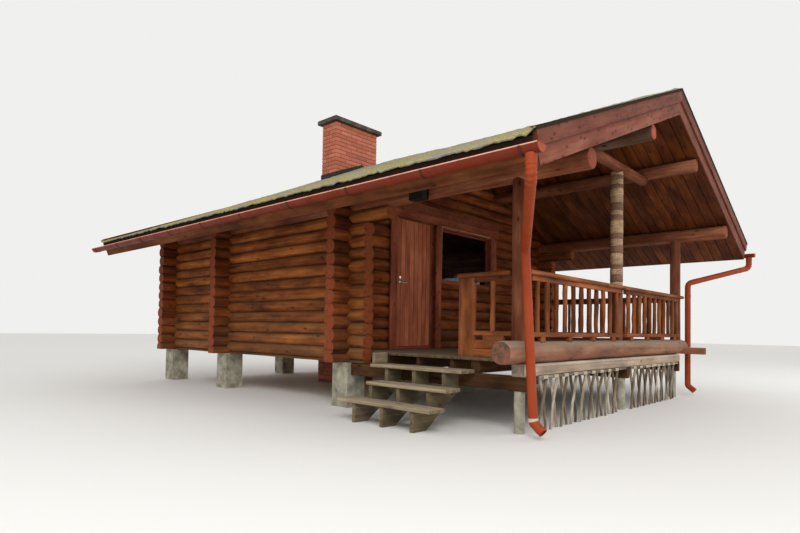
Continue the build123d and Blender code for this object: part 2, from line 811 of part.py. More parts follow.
def front_railing(side):
    with BuildPart() as rail:
        with BuildSketch(Plane.XY.offset(rail_top - handrail_thickness)):
            with Locations((side * wall_half_span / 2, y_rail)):
                Rectangle(wall_half_span - rail_joint, handrail_width)
        extrude(amount=handrail_thickness)
        with BuildSketch(Plane.XY.offset(subrail_top - subrail_depth)):
            with Locations((side * wall_half_span / 2, y_rail)):
                Rectangle(wall_half_span - rail_joint, subrail_width)
        extrude(amount=subrail_depth)
        with BuildSketch(Plane.XY.offset(bottom_rail_top - bottom_rail_depth)):
            with Locations((side * wall_half_span / 2, y_rail)):
                Rectangle(wall_half_span - rail_joint, subrail_width)
        extrude(amount=bottom_rail_depth)
        with BuildSketch(Plane.XY.offset(bottom_rail_top)):
            with Locations([(side * baluster_spacing * k, y_rail) for k in range(1, baluster_count + 1)]):
                RegularPolygon(baluster_radius, baluster_sides)
        extrude(amount=subrail_top - subrail_depth - bottom_rail_top)
        with BuildSketch(Plane.XY.offset(sill_log_level)):
            with Locations([(side * baluster_spacing * (k + 0.5), y_rail)
                            for k in range(1, baluster_count, rail_foot_step)]):
                Rectangle(rail_foot_width, subrail_width)
        extrude(amount=bottom_rail_top - bottom_rail_depth - sill_log_level)
        with BuildSketch(Plane.YZ.offset(-wall_half_span)):
            with Locations((y_post, sill_log_level)):
                Circle(sill_log_radius + fit_gap)
        extrude(amount=2 * wall_half_span, mode=Mode.SUBTRACT)
        with BuildSketch():
            with Locations((-wall_half_span, y_stand), (wall_half_span, y_stand)):
                Circle(post_radius + fit_gap)
            with Locations((0, y_stand)):
                Circle(post_wrap_radius + fit_gap)
        extrude(amount=plate_level, mode=Mode.SUBTRACT)
    return rail


finish(front_railing(-1), "railing_front_left")
finish(front_railing(1), "railing_front_right")


def side_railing(side, y_to, baluster_offsets, blocks):
    x = side * wall_half_span
    y_a = y_stand + post_radius + fit_gap
    y_curb = y_post + sill_log_radius + curb_gap
    with BuildPart() as rail:
        with BuildSketch(Plane.XY.offset(rail_top - handrail_thickness)):
            with Locations((x, (y_a + y_to) / 2)):
                Rectangle(handrail_width, y_to - y_a)
        extrude(amount=handrail_thickness)
        with BuildSketch(Plane.XY.offset(subrail_top - subrail_depth)):
            with Locations((x, (y_a + y_to) / 2)):
                Rectangle(subrail_width, y_to - y_a)
        extrude(amount=subrail_depth)
        with BuildSketch(Plane.XY.offset(deck_level)):
            with Locations((x, (y_curb + y_to) / 2)):
                Rectangle(curb_thickness, y_to - y_curb)
        extrude(amount=curb_top - deck_level)
        with BuildSketch(Plane.XY.offset(curb_top)):
            for start, stop in blocks:
                with Locations((x, y_post + (start + stop) / 2)):
                    Rectangle(subrail_width, stop - start)
        extrude(amount=side_rail_top - side_rail_depth - curb_top)
        with BuildSketch(Plane.XY.offset(side_rail_top - side_rail_depth)):
            with Locations((x, (y_a + y_to) / 2)):
                Rectangle(subrail_width, y_to - y_a)
        extrude(amount=side_rail_depth)
        with BuildSketch(Plane.XY.offset(side_rail_top)):
            with Locations([(x, y_post + d) for d in baluster_offsets]):
                RegularPolygon(baluster_radius, baluster_sides)
        extrude(amount=subrail_top - subrail_depth - side_rail_top)
        if side < 0:
            with BuildSketch(Plane.XY.offset(deck_level)):
                with Locations((x, y_post + newel_y)):
                    Rectangle(newel_thickness, newel_width)
            extrude(amount=rail_top - handrail_thickness - deck_level)
        # The curb meets the round post
        with BuildSketch():
            with Locations((x, y_stand)):
                Circle(post_radius + fit_gap)
        extrude(amount=plate_level, mode=Mode.SUBTRACT)
    return rail


finish(side_railing(-1, y_post + newel_y + newel_width / 2, [side_baluster_y], [side_block]), "railing_left")
y_side_end = y_wall - log_stub - rail_joint
side_count = int((y_side_end - y_post - side_first) // baluster_spacing)
right_offsets = [side_first + baluster_spacing * k for k in range(side_count)]
block_count = int((y_side_end - y_post - side_block[0]) // side_block_pitch) + 1
right_blocks = [(side_block[0] + side_block_pitch * k, side_block[1] + side_block_pitch * k)
                for k in range(block_count)]
finish(side_railing(1, y_side_end, right_offsets, right_blocks), "railing_right")

# Stairs
x_tread_in = -deck_half - tread_clear
with BuildPart() as treads:
    for k, width in enumerate(tread_widths):
        with BuildSketch(Plane.XY.offset(tread_first - tread_rise * k - tread_thickness)):
            with Locations((x_tread_in - tread_going * (k + 0.5), y_post + stair_from + width / 2)):
                Rectangle(tread_going - tread_joint, width)
        extrude(amount=tread_thickness)
    with BuildSketch(Plane.XY.offset(tread_first)):
        y_cheek = y_post + stair_from + tread_widths[0] - cheek_thickness / 2
        with Locations((x_tread_in - cheek_length / 2, y_cheek)):
            Rectangle(cheek_length - tread_joint, cheek_thickness)
    extrude(amount=deck_level - tread_first)
finish(treads, "stair_treads")

with BuildPart() as stringers:
    x_in = bearer_x[0] - bearer_width / 2 - fit_gap
    seat = [tread_first - tread_rise * k - tread_thickness for k in range(len(tread_widths))]
    nose = [x_tread_in - tread_going * (k + 1) + nosing for k in range(len(tread_widths))]
    with BuildSketch(section_plane(y_post + stringer_middle)):
        with BuildLine():
            points = [(x_in, seat[0])]
            for x_nose, z_seat, z_next in zip(nose, seat, seat[1:] + [0]):
                points += [(x_nose, z_seat), (x_nose, z_next)]
            points.append((nose[-1] + stringer_foot, 0))
            points.append((x_in, seat[0] - stringer_depth))
            Polyline(points, close=True)
        make_face()
    extrude(amount=stringer_width / 2, both=True)
    middle_stringer = stringers.part
    with Locations((0, -stringer_spacing, 0), (0, stringer_spacing, 0)):
        add(middle_stringer)
finish(stringers, "stair_stringers")


# Lattice skirt of crossed sticks under the porch front
def lattice(x_a, x_b):
    count = int((x_b - x_a) // lattice_pitch)
    with BuildPart() as skirt:
        with BuildSketch(section_plane(y_post - lattice_forward)):
            with Locations(((x_a + x_b) / 2, bearer_top - lattice_rail / 2)):
                Rectangle(x_b - x_a, lattice_rail)
        extrude(amount=2 * stick_size)
        for k in range(count):
            x = x_a + lattice_pitch * (k + 0.5)
            for lean, y_off in ((1, 0), (-1, stick_size)):
                with BuildSketch(section_plane(y_post - lattice_forward - y_off)):
                    with BuildLine():
                        x_top = x - lean * lean_top
                        x_foot = x + lean * lean_foot
                        z_top = bearer_top - lattice_rail / 2
                        Polyline(
                            (x_top - stick_half, z_top), (x_top + stick_half, z_top),
                            (x_foot + stick_half, 0), (x_foot - stick_half, 0), close=True)
                    make_face()
                extrude(amount=stick_size)
    return skirt


finish(lattice(bearer_x[0] + lattice_inset, bearer_x[1] - pier_radius - lattice_clear), "lattice_left")
finish(lattice(bearer_x[1] + pier_radius + lattice_clear, bearer_x[2] - pier_radius - lattice_end),
       "lattice_right")
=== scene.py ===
"""Looks of the log cabin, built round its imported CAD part. Metres, the part's own frame."""

import bpy
import numpy as np
from mathutils import Matrix, Vector


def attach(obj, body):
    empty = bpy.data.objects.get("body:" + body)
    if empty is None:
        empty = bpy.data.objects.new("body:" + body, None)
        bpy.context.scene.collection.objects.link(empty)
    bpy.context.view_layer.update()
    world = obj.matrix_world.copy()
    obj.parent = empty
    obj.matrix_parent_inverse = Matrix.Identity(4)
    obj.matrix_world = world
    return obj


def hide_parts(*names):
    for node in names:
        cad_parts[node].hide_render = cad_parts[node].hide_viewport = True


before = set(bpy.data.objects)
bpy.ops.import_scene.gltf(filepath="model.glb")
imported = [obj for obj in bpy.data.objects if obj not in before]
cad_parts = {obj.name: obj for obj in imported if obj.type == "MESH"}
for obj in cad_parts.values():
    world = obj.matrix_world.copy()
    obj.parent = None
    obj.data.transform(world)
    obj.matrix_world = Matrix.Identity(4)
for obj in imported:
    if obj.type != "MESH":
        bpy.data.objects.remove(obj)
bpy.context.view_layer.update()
rng = np.random.default_rng(11)
SIDES = ((-1, "left"), (1, "right"))

# Plan: side walls at -SIDE_X and SIDE_X, the porch towards low Y
SIDE_X = 2.480
PORCH, FRONT_ROOM, BACK_ROOM = 2.600, 2.980, 1.920
ROOF_LENGTH, OVERHANG = 8.980, 0.775
Y_FRONT, Y_BACK = -ROOF_LENGTH / 2, ROOF_LENGTH / 2
Y_POST = Y_FRONT + OVERHANG
Y_WALL = Y_POST + PORCH
Y_INNER = Y_WALL + FRONT_ROOM
Y_REAR = Y_INNER + BACK_ROOM
Y_STAND = Y_POST + 0.040
# Heights: underside of the walls, porch deck, floor, top and bottom of the openings, middle of the plate logs
BASE, DECK, FLOOR, HEAD, SILL, PLATE = 0.578, 0.735, 0.770, 2.680, 1.740, 2.635
BEARER_TOP, HEAD_BOARD = 0.568, 2.629
# Logs
LOG_R, PITCH, STUB, CORBEL = 0.098, 0.162, 0.360, 0.740
PLATE_R, PURLIN_R, PURLIN_X, POST_R, WRAP_R = 0.102, 0.089, 0.840, 0.080, 0.082
SILL_LOG_R = 0.115
SILL_LOG_Z = 0.690 + SILL_LOG_R
SIDE_LEVELS = [PLATE - PITCH * k for k in range(1, 14)]
CROSS_LEVELS = [PLATE + PITCH * (k - 0.5) for k in range(-13, 8)]
STUB_END = SIDE_X + STUB
# Roof: rise per metre across, metres across per metre of slope, half width
SLOPE, PER, EAVE = 0.412169, 0.924546, 3.634
SOFFIT_APEX = PLATE + PLATE_R / PER + SLOPE * SIDE_X
ROOF_APEX = SOFFIT_APEX + 0.300 / PER
PURLIN_Z = SOFFIT_APEX - SLOPE * PURLIN_X - PURLIN_R / PER
BOLSTER_Z, BOLSTER_R = PURLIN_Z - 0.095, 0.070
# Openings
DOOR_L, DOOR_R, WINDOW_R = -1.735, -0.790, 0.700
LEAF_L, LEAF_R, LEAF_TOP = -1.660, -0.895, 2.620
Y_LEAF = Y_WALL - 0.054


def add_camera():
    """The photograph's camera."""
    yaw, pitch, roll = np.radians((47.149, 1.682, 0.926))
    forward = Vector((np.sin(yaw) * np.cos(pitch), np.cos(yaw) * np.cos(pitch), np.sin(pitch)))
    right = Vector((np.cos(yaw), -np.sin(yaw), 0.0))
    up = right.cross(forward)
    x_axis = right * np.cos(roll) + up * np.sin(roll)
    y_axis = up * np.cos(roll) - right * np.sin(roll)
    data = bpy.data.cameras.new("camera")
    data.sensor_width = 36.0
    data.lens = 25.06
    data.shift_y = 0.0582
    data.clip_end = 200.0
    cam = bpy.data.objects.new("camera", data)
    turn = Matrix((x_axis, y_axis, -forward)).transposed().to_4x4()
    cam.matrix_world = Matrix.Translation((-7.432, -6.620, 1.016)) @ turn
    bpy.context.scene.collection.objects.link(cam)
    bpy.context.scene.camera = cam


add_camera()


# Materials
def srgb(r, g, b):
    parts = [c / 255 for c in (r, g, b)]
    return tuple(c / 12.92 if c <= 0.04045 else ((c + 0.055) / 1.055) ** 2.4 for c in parts) + (1.0,)


def darker(color, share):
    return tuple(share * c for c in color[:3]) + (1.0,)


class Nodes:
    """The nodes of one material or world."""

    def __init__(self, name, kind=bpy.data.materials):
        self.owner = kind.new(name)
        self.owner.use_nodes = True
        self.tree = self.owner.node_tree
        self.tree.nodes.clear()

    def new(self, kind, **settings):
        node = self.tree.nodes.new(kind)
        for key, value in settings.items():
            setattr(node, key, value)
        return node

    def put(self, socket, value):
        if isinstance(value, bpy.types.NodeSocket):
            self.tree.links.new(value, socket)
        else:
            socket.default_value = value

    def made(self, kind, *inputs, **settings):
        """The first output of a new node with these inputs."""
        node = self.new(kind, **settings)
        for socket, value in zip(node.inputs, inputs):
            self.put(socket, value)
        return node.outputs[0]

    def attribute(self, name, output="Fac"):
        return self.new("ShaderNodeAttribute", attribute_name=name).outputs[output]

    def place(self):
        return self.new("ShaderNodeTexCoord").outputs["Object"]

    def math(self, operation, a, b=0.0, clamp=False):
        return self.made("ShaderNodeMath", a, b, operation=operation, use_clamp=clamp)

    def add(self, a, b):
        return self.math("ADD", a, b)

    def mul(self, a, b, clamp=False):
        return self.math("MULTIPLY", a, b, clamp)

    def combine(self, x, y, z):
        return self.made("ShaderNodeCombineXYZ", x, y, z)

    def shift(self, vector, x, y, z):
        return self.made("ShaderNodeVectorMath", vector, self.combine(x, y, z), operation="ADD")

    def scale(self, vector, *by):
        return self.made("ShaderNodeVectorMath", vector, by, operation="MULTIPLY")

    def split(self, vector):
        node = self.new("ShaderNodeSeparateXYZ")
        self.put(node.inputs[0], vector)
        return node.outputs

    def noise(self, vector, scale=1.0, detail=4.0, roughness=0.55):
        node = self.new("ShaderNodeTexNoise")
        self.put(node.inputs["Vector"], vector)
        for key, value in (("Scale", scale), ("Detail", detail), ("Roughness", roughness)):
            node.inputs[key].default_value = value
        return node.outputs["Fac"]

    def cells(self, vector, dimensions):
        node = self.new("ShaderNodeTexVoronoi", feature="F1", voronoi_dimensions=dimensions)
        self.put(node.inputs["Vector"], vector)
        node.inputs["Scale"].default_value = 1.0
        return node.outputs["Distance"]

    def ramp(self, value, *stops):
        """Stops are a place and a grey level or a colour."""
        node = self.new("ShaderNodeValToRGB")
        self.put(node.inputs[0], value)
        points = node.color_ramp.elements
        while len(points) < len(stops):
            points.new(0.5)
        for point, (place, color) in zip(points, stops):
            point.position = place
            point.color = color if isinstance(color, tuple) else (color, color, color, 1.0)
        return node.outputs[0]

    def mix(self, factor, a, b, blend="MIX"):
        node = self.new("ShaderNodeMix", data_type="RGBA", blend_type=blend, clamp_factor=True)
        for place, value in ((0, factor), (6, a), (7, b)):
            self.put(node.inputs[place], value)
        return node.outputs[2]

    def bump(self, height, distance, strength=1.0):
        node = self.new("ShaderNodeBump")
        node.inputs["Strength"].default_value = strength
        node.inputs["Distance"].default_value = distance
        self.put(node.inputs["Height"], height)
        return node.outputs[0]

    def done(self, color, roughness, normal=None, **sockets):
        """The material, around a Principled shader with these inputs."""
        shader = self.new("ShaderNodeBsdfPrincipled")
        if normal is not None:
            sockets["Normal"] = normal
        for key, value in {"Base_Color": color, "Roughness": roughness, **sockets}.items():
            self.put(shader.inputs[key.replace("_", " ")], value)
        self.put(self.new("ShaderNodeOutputMaterial").inputs[0], shader.outputs[0])
        return self.owner


BLACK = srgb(16, 11, 8)


def wood(name, dark, mid, light, grey, end=None, top=0.0, over=0.0, knots=1.0, grain=1.0, rough=0.72, vary=0.5,
         flat=False):
    """Wood with its grain along each piece, knots, weathering and rings at the cut ends.

    top weathers what faces the sky and over weathers all of it. vary sets how much the pieces differ.
    """
    dark, mid, light, grey, end = (srgb(*color) for color in (dark, mid, light, grey, end or mid))
    n = Nodes(name)
    local = n.attribute("grain", "Vector")
    tone = n.attribute("tone")
    place = n.shift(local, n.mul(tone, 31.0), n.mul(tone, 7.0), tone)
    streak = n.noise(n.scale(place, 0.9, 30.0, 30.0), 1.0, 5.0, 0.55)
    fleck = n.noise(n.scale(place, 5.0, 190.0, 190.0), 1.0, 3.0, 0.6)
    blot = n.noise(n.scale(place, 1.6, 6.0, 6.0), 1.0, 4.0, 0.6)
    color = n.ramp(n.add(n.mul(streak, 0.35 * grain), n.mul(blot, 1.0 - 0.35 * grain)),
                   (0.34, dark), (0.50, mid), (0.64, light))
    color = n.mix(n.mul(n.math("SUBTRACT", fleck, 0.47), 1.6 * grain, True), color, dark)
    share = n.add(n.mul(n.math("SUBTRACT", tone, 0.5), vary), 1.0)
    color = n.mix(1.0, color, n.combine(share, share, share), "MULTIPLY")
    # Weathered grey
    up = n.split(n.new("ShaderNodeNewGeometry").outputs["Normal"])[2]
    patch = n.noise(n.scale(place, 0.8, 9.0, 9.0), 1.7, 5.0, 0.6)
    amount = n.add(n.mul(n.math("MAXIMUM", up, 0.0), top), n.add(over, n.attribute("wear")))
    amount = n.mul(amount, n.ramp(patch, (0.25, 0.35), (0.60, 1.15)), True)
    color = n.mix(amount, color, n.mix(streak, darker(grey, 0.68), grey))
    # Knots
    knot = n.cells(n.scale(place, 4.2, 8.5, 8.5), "2D") if flat else n.cells(n.scale(place, 3.1, 7.5, 7.5), "3D")
    spot = n.ramp(knot, (0.06, 1.0), (0.12, 0.0))
    halo = n.ramp(knot, (0.08, 1.0), (0.22, 0.0))
    color = n.mix(n.mul(halo, 0.30 * knots), color, dark)
    color = n.mix(n.mul(spot, 0.75 * knots), color, darker(dark, 0.40))
    # Cut ends
    cross = n.split(local)
    radius = n.math("SQRT", n.add(n.mul(cross[1], cross[1]), n.mul(cross[2], cross[2])))
    rings = n.noise(n.combine(n.mul(radius, 210.0), tone, 0.0), 1.0, 1.0)
    split = n.noise(n.scale(local, 1.0, 9.0, 70.0), 1.0, 3.0, 0.6)
    stain = n.noise(n.shift(n.scale(local, 14.0, 14.0, 14.0), n.mul(tone, 9.0), 0.0, tone), 1.0, 3.0)
    end_color = n.mix(n.ramp(rings, (0.40, 0.0), (0.62, 1.0)), darker(end, 0.55), end)
    end_color = n.mix(n.ramp(stain, (0.40, 0.0), (0.62, 0.8)), end_color, mid)
    end_color = n.mix(n.ramp(split, (0.60, 0.0), (0.70, 0.7)), end_color, BLACK)
    color = n.mix(n.attribute("cut"), color, end_color)
    # Darker towards black by the per-point attribute: dirt and dark joints, and painted shade in the log seams, inside
    # the roof and on the upper fascia board; the stubs outside the side walls are darker too
    color = n.mix(n.mul(n.attribute("dirt"), 0.85), color, BLACK)
    height = n.add(n.add(n.mul(streak, 0.6), n.mul(fleck, 0.35)), n.mul(spot, 0.5))
    return n.done(color, n.ramp(streak, (0.3, rough + 0.10), (0.7, rough - 0.06)),
                  n.bump(height, 0.0025 * grain, 0.8), Specular_IOR_Level=0.12)


def metal_paint(name, base, worn, dirt, rough=0.42):
    """Paint with worn patches, runs and specks."""
    base, worn, dirt = srgb(*base), srgb(*worn), srgb(*dirt)
    n = Nodes(name)
    place = n.place()
    blot = n.noise(n.scale(place, 3.0, 3.0, 2.0), 1.5, 5.0)
    run = n.noise(n.scale(place, 26.0, 26.0, 2.2), 1.0, 5.0, 0.6)
    speck = n.noise(place, 90.0, 3.0)
    color = n.mix(n.ramp(blot, (0.35, 0.0), (0.70, 0.55)), base, worn)
    color = n.mix(n.ramp(run, (0.55, 0.0), (0.75, 0.50)), color, dirt)
    color = n.mix(n.ramp(speck, (0.66, 0.0), (0.72, 0.6)), color, dirt)
    return n.done(color, n.ramp(blot, (0.3, rough), (0.7, rough + 0.2)), n.bump(speck, 0.0006, 0.4),
                  Specular_IOR_Level=0.16)


def stone(name, base, dark, light, scale=7.0):
    n = Nodes(name)
    place = n.place()
    wide = n.noise(place, scale, 6.0, 0.6)
    fine = n.noise(place, scale * 14.0, 3.0, 0.6)
    color = n.ramp(wide, (0.30, srgb(*dark)), (0.50, srgb(*base)), (0.72, srgb(*light)))
    color = n.mix(n.ramp(fine, (0.56, 0.0), (0.72, 0.5)), color, srgb(*dark))
    return n.done(color, 0.9, n.bump(n.add(wide, n.mul(fine, 0.4)), 0.003), Specular_IOR_Level=0.15)


def brick_material():
    n = Nodes("brick")
    tone = n.attribute("tone")
    place = n.shift(n.place(), n.mul(tone, 19.0), tone, tone)
    wide = n.noise(place, 16.0, 5.0, 0.6)
    fine = n.noise(place, 130.0, 3.0, 0.6)
    color = n.ramp(tone, (0.0, srgb(170, 94, 72)), (0.45, srgb(188, 106, 82)), (0.80, srgb(200, 120, 94)),
                   (1.0, srgb(158, 86, 66)))
    color = n.mix(n.ramp(wide, (0.35, 0.0), (0.75, 0.35)), color, srgb(140, 72, 54))
    color = n.mix(n.ramp(fine, (0.60, 0.0), (0.75, 0.6)), color, srgb(90, 44, 36))
    return n.done(color, 0.88, n.bump(n.add(wide, n.mul(fine, 0.5)), 0.002))


def felt_material():
    """Grey mineral felt under moss, lichen and needles."""
    n = Nodes("mossy_felt")
    place = n.place()
    wide = n.noise(place, 0.8, 3.0)
    middle = n.noise(n.scale(place, 4.0, 6.0, 4.0), 1.0, 5.0, 0.7)
    fine = n.noise(place, 42.0, 4.0, 0.7)
    grit = n.noise(place, 230.0, 2.0)
    felt = n.ramp(grit, (0.35, srgb(120, 117, 112)), (0.65, srgb(170, 165, 158)))
    felt = n.mix(n.ramp(middle, (0.35, 0.5), (0.60, 0.0)), felt, srgb(124, 116, 92))
    green = n.ramp(fine, (0.32, srgb(92, 87, 46)), (0.50, srgb(156, 146, 72)), (0.68, srgb(212, 200, 118)))
    total = n.add(n.add(n.mul(wide, 0.30), n.mul(middle, 0.40)), n.mul(fine, 0.35))
    total = n.add(total, n.mul(n.math("SUBTRACT", n.attribute("moss"), 0.5), 0.55))
    color = n.mix(n.ramp(total, (0.495, 0.0), (0.600, 0.90)), felt, green)
    needle = n.ramp(n.noise(n.scale(place, 9.0, 52.0, 9.0), 1.0, 4.0), (0.58, 0.0), (0.68, 1.0))
    color = n.mix(n.mul(needle, 0.45), color, srgb(172, 124, 82))
    # Painted shade: the felt's underside and the lower edge of its rim, darkened nearly black
    color = n.mix(n.attribute("dirt"), color, srgb(34, 30, 26))
    return n.done(color, 0.96, n.bump(n.add(fine, n.mul(grit, 0.3)), 0.006), Specular_IOR_Level=0.1)


def wrap_material():
    """Bands of bark and rope, from brown at tone 0 to pale at 1."""
    n = Nodes("post_wrap")
    tone = n.attribute("tone")
    place = n.place()
    wrap = n.noise(n.scale(place, 9.0, 9.0, 90.0), 1.0, 4.0)
    patch = n.noise(n.scale(place, 14.0, 14.0, 4.0), 1.0, 2.0)
    color = n.ramp(tone, (0.0, srgb(112, 78, 58)), (0.38, srgb(138, 102, 76)), (0.55, srgb(178, 144, 110)),
                   (1.0, srgb(204, 172, 134)))
    color = n.mix(n.ramp(patch, (0.42, 0.0), (0.60, 0.5)), color, srgb(140, 104, 76))
    color = n.mix(n.ramp(wrap, (0.40, 0.5), (0.55, 0.0)), color, srgb(66, 52, 42))
    return n.done(color, 0.85, n.bump(wrap, 0.004))


def plain(name, color, rough, **sockets):
    color = srgb(*color)
    n = Nodes(name)
    place = n.place()
    wide = n.noise(place, 22.0, 4.0)
    shade = n.mix(n.ramp(wide, (0.3, 0.0), (0.7, 0.35)), color, darker(color, 0.72))
    return n.done(shade, n.ramp(wide, (0.3, rough), (0.7, rough + 0.12)),
                  n.bump(n.noise(place, 160.0, 2.0), 0.0003, 0.3), **sockets)


def glass_material():
    n = Nodes("window_glass")
    film = n.noise(n.place(), 6.0, 4.0)
    return n.done(n.ramp(film, (0.3, srgb(196, 206, 206)), (0.7, srgb(170, 182, 184))),
                  n.ramp(film, (0.4, 0.02), (0.8, 0.09)), Transmission_Weight=1.0, IOR=1.45)


# Woods: dark, middle and light stain, weathered grey and cut end
LOG = wood("log_stain", (80, 36, 16), (138, 76, 34), (176, 106, 52), (110, 88, 62), (152, 76, 46), 0.45, vary=0.6)
CROSS_LOG = wood("log_cross", (76, 32, 13), (128, 62, 25), (166, 94, 43), (117, 81, 51), (152, 78, 52), 0.40,
                 vary=0.6)
BROWN_LOG = wood("log_brown", (81, 42, 25), (120, 67, 44), (152, 97, 67), (112, 91, 73), (150, 68, 49), 0.35, 0.05,
                 vary=0.35)
RED_BOARD = wood("red_board", (84, 42, 31), (115, 62, 46), (132, 78, 60), (126, 96, 82), None, 0.5, 0.08,
                 knots=0.85, grain=0.5, vary=0.30, flat=True)
CASING = wood("casing_board", (98, 48, 30), (134, 67, 43), (160, 88, 62), (150, 106, 84), None, 0.5, 0.08,
              knots=0.7, grain=0.6, vary=0.35, flat=True)
PURLIN = wood("purlin_grey", (56, 38, 28), (88, 64, 50), (114, 90, 72), (104, 90, 78), (206, 84, 70), 0.3, 0.05,
              vary=0.3)
SOFFIT_BOARD = wood("soffit_board", (66, 29, 10), (94, 47, 20), (119, 64, 27), (99, 64, 36), grain=0.4)
DOOR_BOARD = wood("door_board", (138, 69, 45), (172, 93, 60), (198, 116, 78), (186, 126, 94), over=0.05,
                  knots=0.3, grain=0.6, rough=0.55, vary=0.25)
RAIL = wood("rail_wood", (80, 41, 20), (126, 69, 36), (158, 96, 55), (114, 86, 60), (140, 92, 62), 0.45, 0.05,
            grain=0.6, vary=0.6)
SILL_WOOD = wood("sill_log", (94, 48, 34), (142, 88, 64), (168, 118, 90), (150, 132, 114), (98, 82, 68), 0.95, 0.12,
                 grain=0.8, vary=0.1)
TREAD = wood("tread", (92, 79, 59), (141, 124, 97), (176, 159, 129), (174, 163, 141), (131, 115, 95), 0.5, 0.1,
             vary=0.3)
# Stringers: the treads' wood made darker, as painted shade
STRINGER = wood("stringer", (70, 60, 44), (108, 94, 72), (136, 122, 98), (132, 124, 106), (100, 88, 72), 0.5, 0.1,
                vary=0.3)
# Deck boards: darker than the treads, partly their own colour and partly painted shade under the porch roof
DECK_WOOD = wood("deck_board", (64, 52, 38), (104, 87, 65), (136, 118, 92), (122, 106, 84), (96, 80, 62), 0.5, 0.2,
                 vary=0.3)
# Deck beams: dark brown, partly their own colour and partly painted shade for where they sit under the deck
BEAM = wood("beam", (35, 21, 8), (69, 44, 24), (93, 65, 38), (98, 77, 54), (79, 55, 33), 0.3, 0.05, vary=0.4)
GREY = wood("grey_timber", (106, 90, 74), (160, 139, 118), (196, 174, 152), (187, 172, 159), (146, 130, 116), 0.5,
            0.2, vary=0.3)
STICK = wood("stick", (50, 38, 28), (116, 98, 78), (212, 202, 182), (176, 164, 144), over=0.15, knots=0.6, vary=1.0)
# Fascia boards: dark brown, partly their own stain and partly painted shade under the felt's edge
FASCIA_BOARD = wood("fascia_board", (64, 33, 16), (100, 54, 27), (126, 74, 41), (104, 72, 46), top=0.3, grain=0.6,
                    vary=0.3)
TRIM = wood("window_trim", (150, 106, 74), (190, 146, 108), (214, 172, 132), (190, 150, 116), vary=0.2)
FLOOR_BOARD = wood("floor_board", (150, 108, 66), (188, 146, 98), (210, 172, 124), (170, 150, 120))
# Paint: base, worn and dirty
PIPE_PAINT = metal_paint("pipe_paint", (154, 63, 29), (134, 51, 24), (82, 34, 17))
# Gutters darker than the pipes: partly their own paint, partly painted shade under the eaves
GUTTER_PAINT_AND_SHADE = metal_paint("gutter_paint", (116, 42, 19), (100, 36, 16), (64, 25, 12))
# Pale paint on the gutters' rolled lip: a painted highlight where the edge faces the sky
PAINTED_HIGHLIGHT_LIP = metal_paint("gutter_lip", (226, 168, 150), (206, 136, 114), (120, 62, 46))
DARK_SHEET = metal_paint("dark_sheet", (40, 41, 44), (56, 56, 58), (26, 24, 24), 0.55)
# Stone: base, dark and light
CONCRETE = stone("concrete", (158, 153, 136), (114, 109, 96), (190, 185, 168))
CAP = stone("cap_slab", (80, 74, 68), (52, 47, 44), (106, 100, 92))
MORTAR = stone("mortar", (132, 84, 66), (106, 66, 52), (154, 106, 86), 30.0)
BRICK = brick_material()
FELT = felt_material()
WRAP = wrap_material()
DARK_FELT = plain("dark_felt", (50, 38, 28), 0.95, Specular_IOR_Level=0.1)
HOOK = plain("hook_strap", (74, 30, 16), 0.6, Specular_IOR_Level=0.3)
HINGE = plain("painted_hinge", (124, 60, 42), 0.45, Metallic=0.4)
NAIL = plain("nail_head", (226, 220, 208), 0.5)
LAMP = plain("lamp_housing", (30, 25, 21), 0.6, Specular_IOR_Level=0.2)
LENS = plain("lamp_glass", (50, 44, 38), 0.35, Specular_IOR_Level=0.3)
STEEL = plain("satin_steel", (196, 190, 178), 0.30, Metallic=1.0)
TAPE = plain("white_tape", (196, 184, 168), 0.55)
GLASS = glass_material()


# Mesh building
class Build:
    """Collects a piece's closed solids, with grain coordinates that follow each one."""

    def __init__(self):
        self.points, self.faces, self.smooth = [], [], []
        self.values = {key: [] for key in ("grain", "tone", "cut", "dirt", "wear", "moss")}
        self.count = 0

    def add(self, points, faces, smooth=False, grain=None, **values):
        points = np.asarray(points, float)
        self.points.append(points)
        self.faces += [tuple(int(i) + self.count for i in face) for face in faces]
        self.smooth += [smooth] * len(faces)
        self.values["grain"].append(points if grain is None else grain)
        for key in ("tone", "cut", "dirt", "wear", "moss"):
            self.values[key].append(np.broadcast_to(np.asarray(values.get(key, 0.0), float), (len(points),)))
        self.count += len(points)

    def piece(self, name, material, slot, *nodes, body="root"):
        mesh = bpy.data.meshes.new(name)
        mesh.from_pydata(np.concatenate(self.points).tolist(), [], self.faces)
        mesh.polygons.foreach_set("use_smooth", self.smooth)
        for key, parts in self.values.items():
            kind, field = ("FLOAT_VECTOR", "vector") if key == "grain" else ("FLOAT", "value")
            data = mesh.attributes.new(key, kind, "POINT").data
            data.foreach_set(field, np.concatenate(parts).astype(np.float32).ravel())
        mesh.materials.append(material)
        mesh.update()
        thing = bpy.data.objects.new(name, mesh)
        bpy.context.scene.collection.objects.link(thing)
        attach(thing, body)
        if nodes:
            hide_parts(*nodes)
        self.__init__()


b = Build()


def strips(rows, k, closed=True):
    """Faces between rows of k points."""
    return [(i * k + j, i * k + (j + 1) % k, (i + 1) * k + (j + 1) % k, (i + 1) * k + j)
            for i in range(rows - 1) for j in range(k if closed else k - 1)]


def turned(faces, turn=True):
    return [face[::-1] for face in faces] if turn else faces


def skin(points, grain, smooth, tone, dirt=0.0, wear=0.0):
    """Closes rings of points into a bar with two cut ends."""
    k = len(points[0])
    b.add(np.concatenate(points), strips(len(points), k), smooth, np.concatenate(grain), tone=tone, dirt=dirt,
          wear=wear)
    for index, order in ((0, range(k - 1, -1, -1)), (-1, range(k))):
        b.add(points[index], [tuple(order)], False, grain[index], tone=tone, cut=1.0, wear=0.5 * wear)


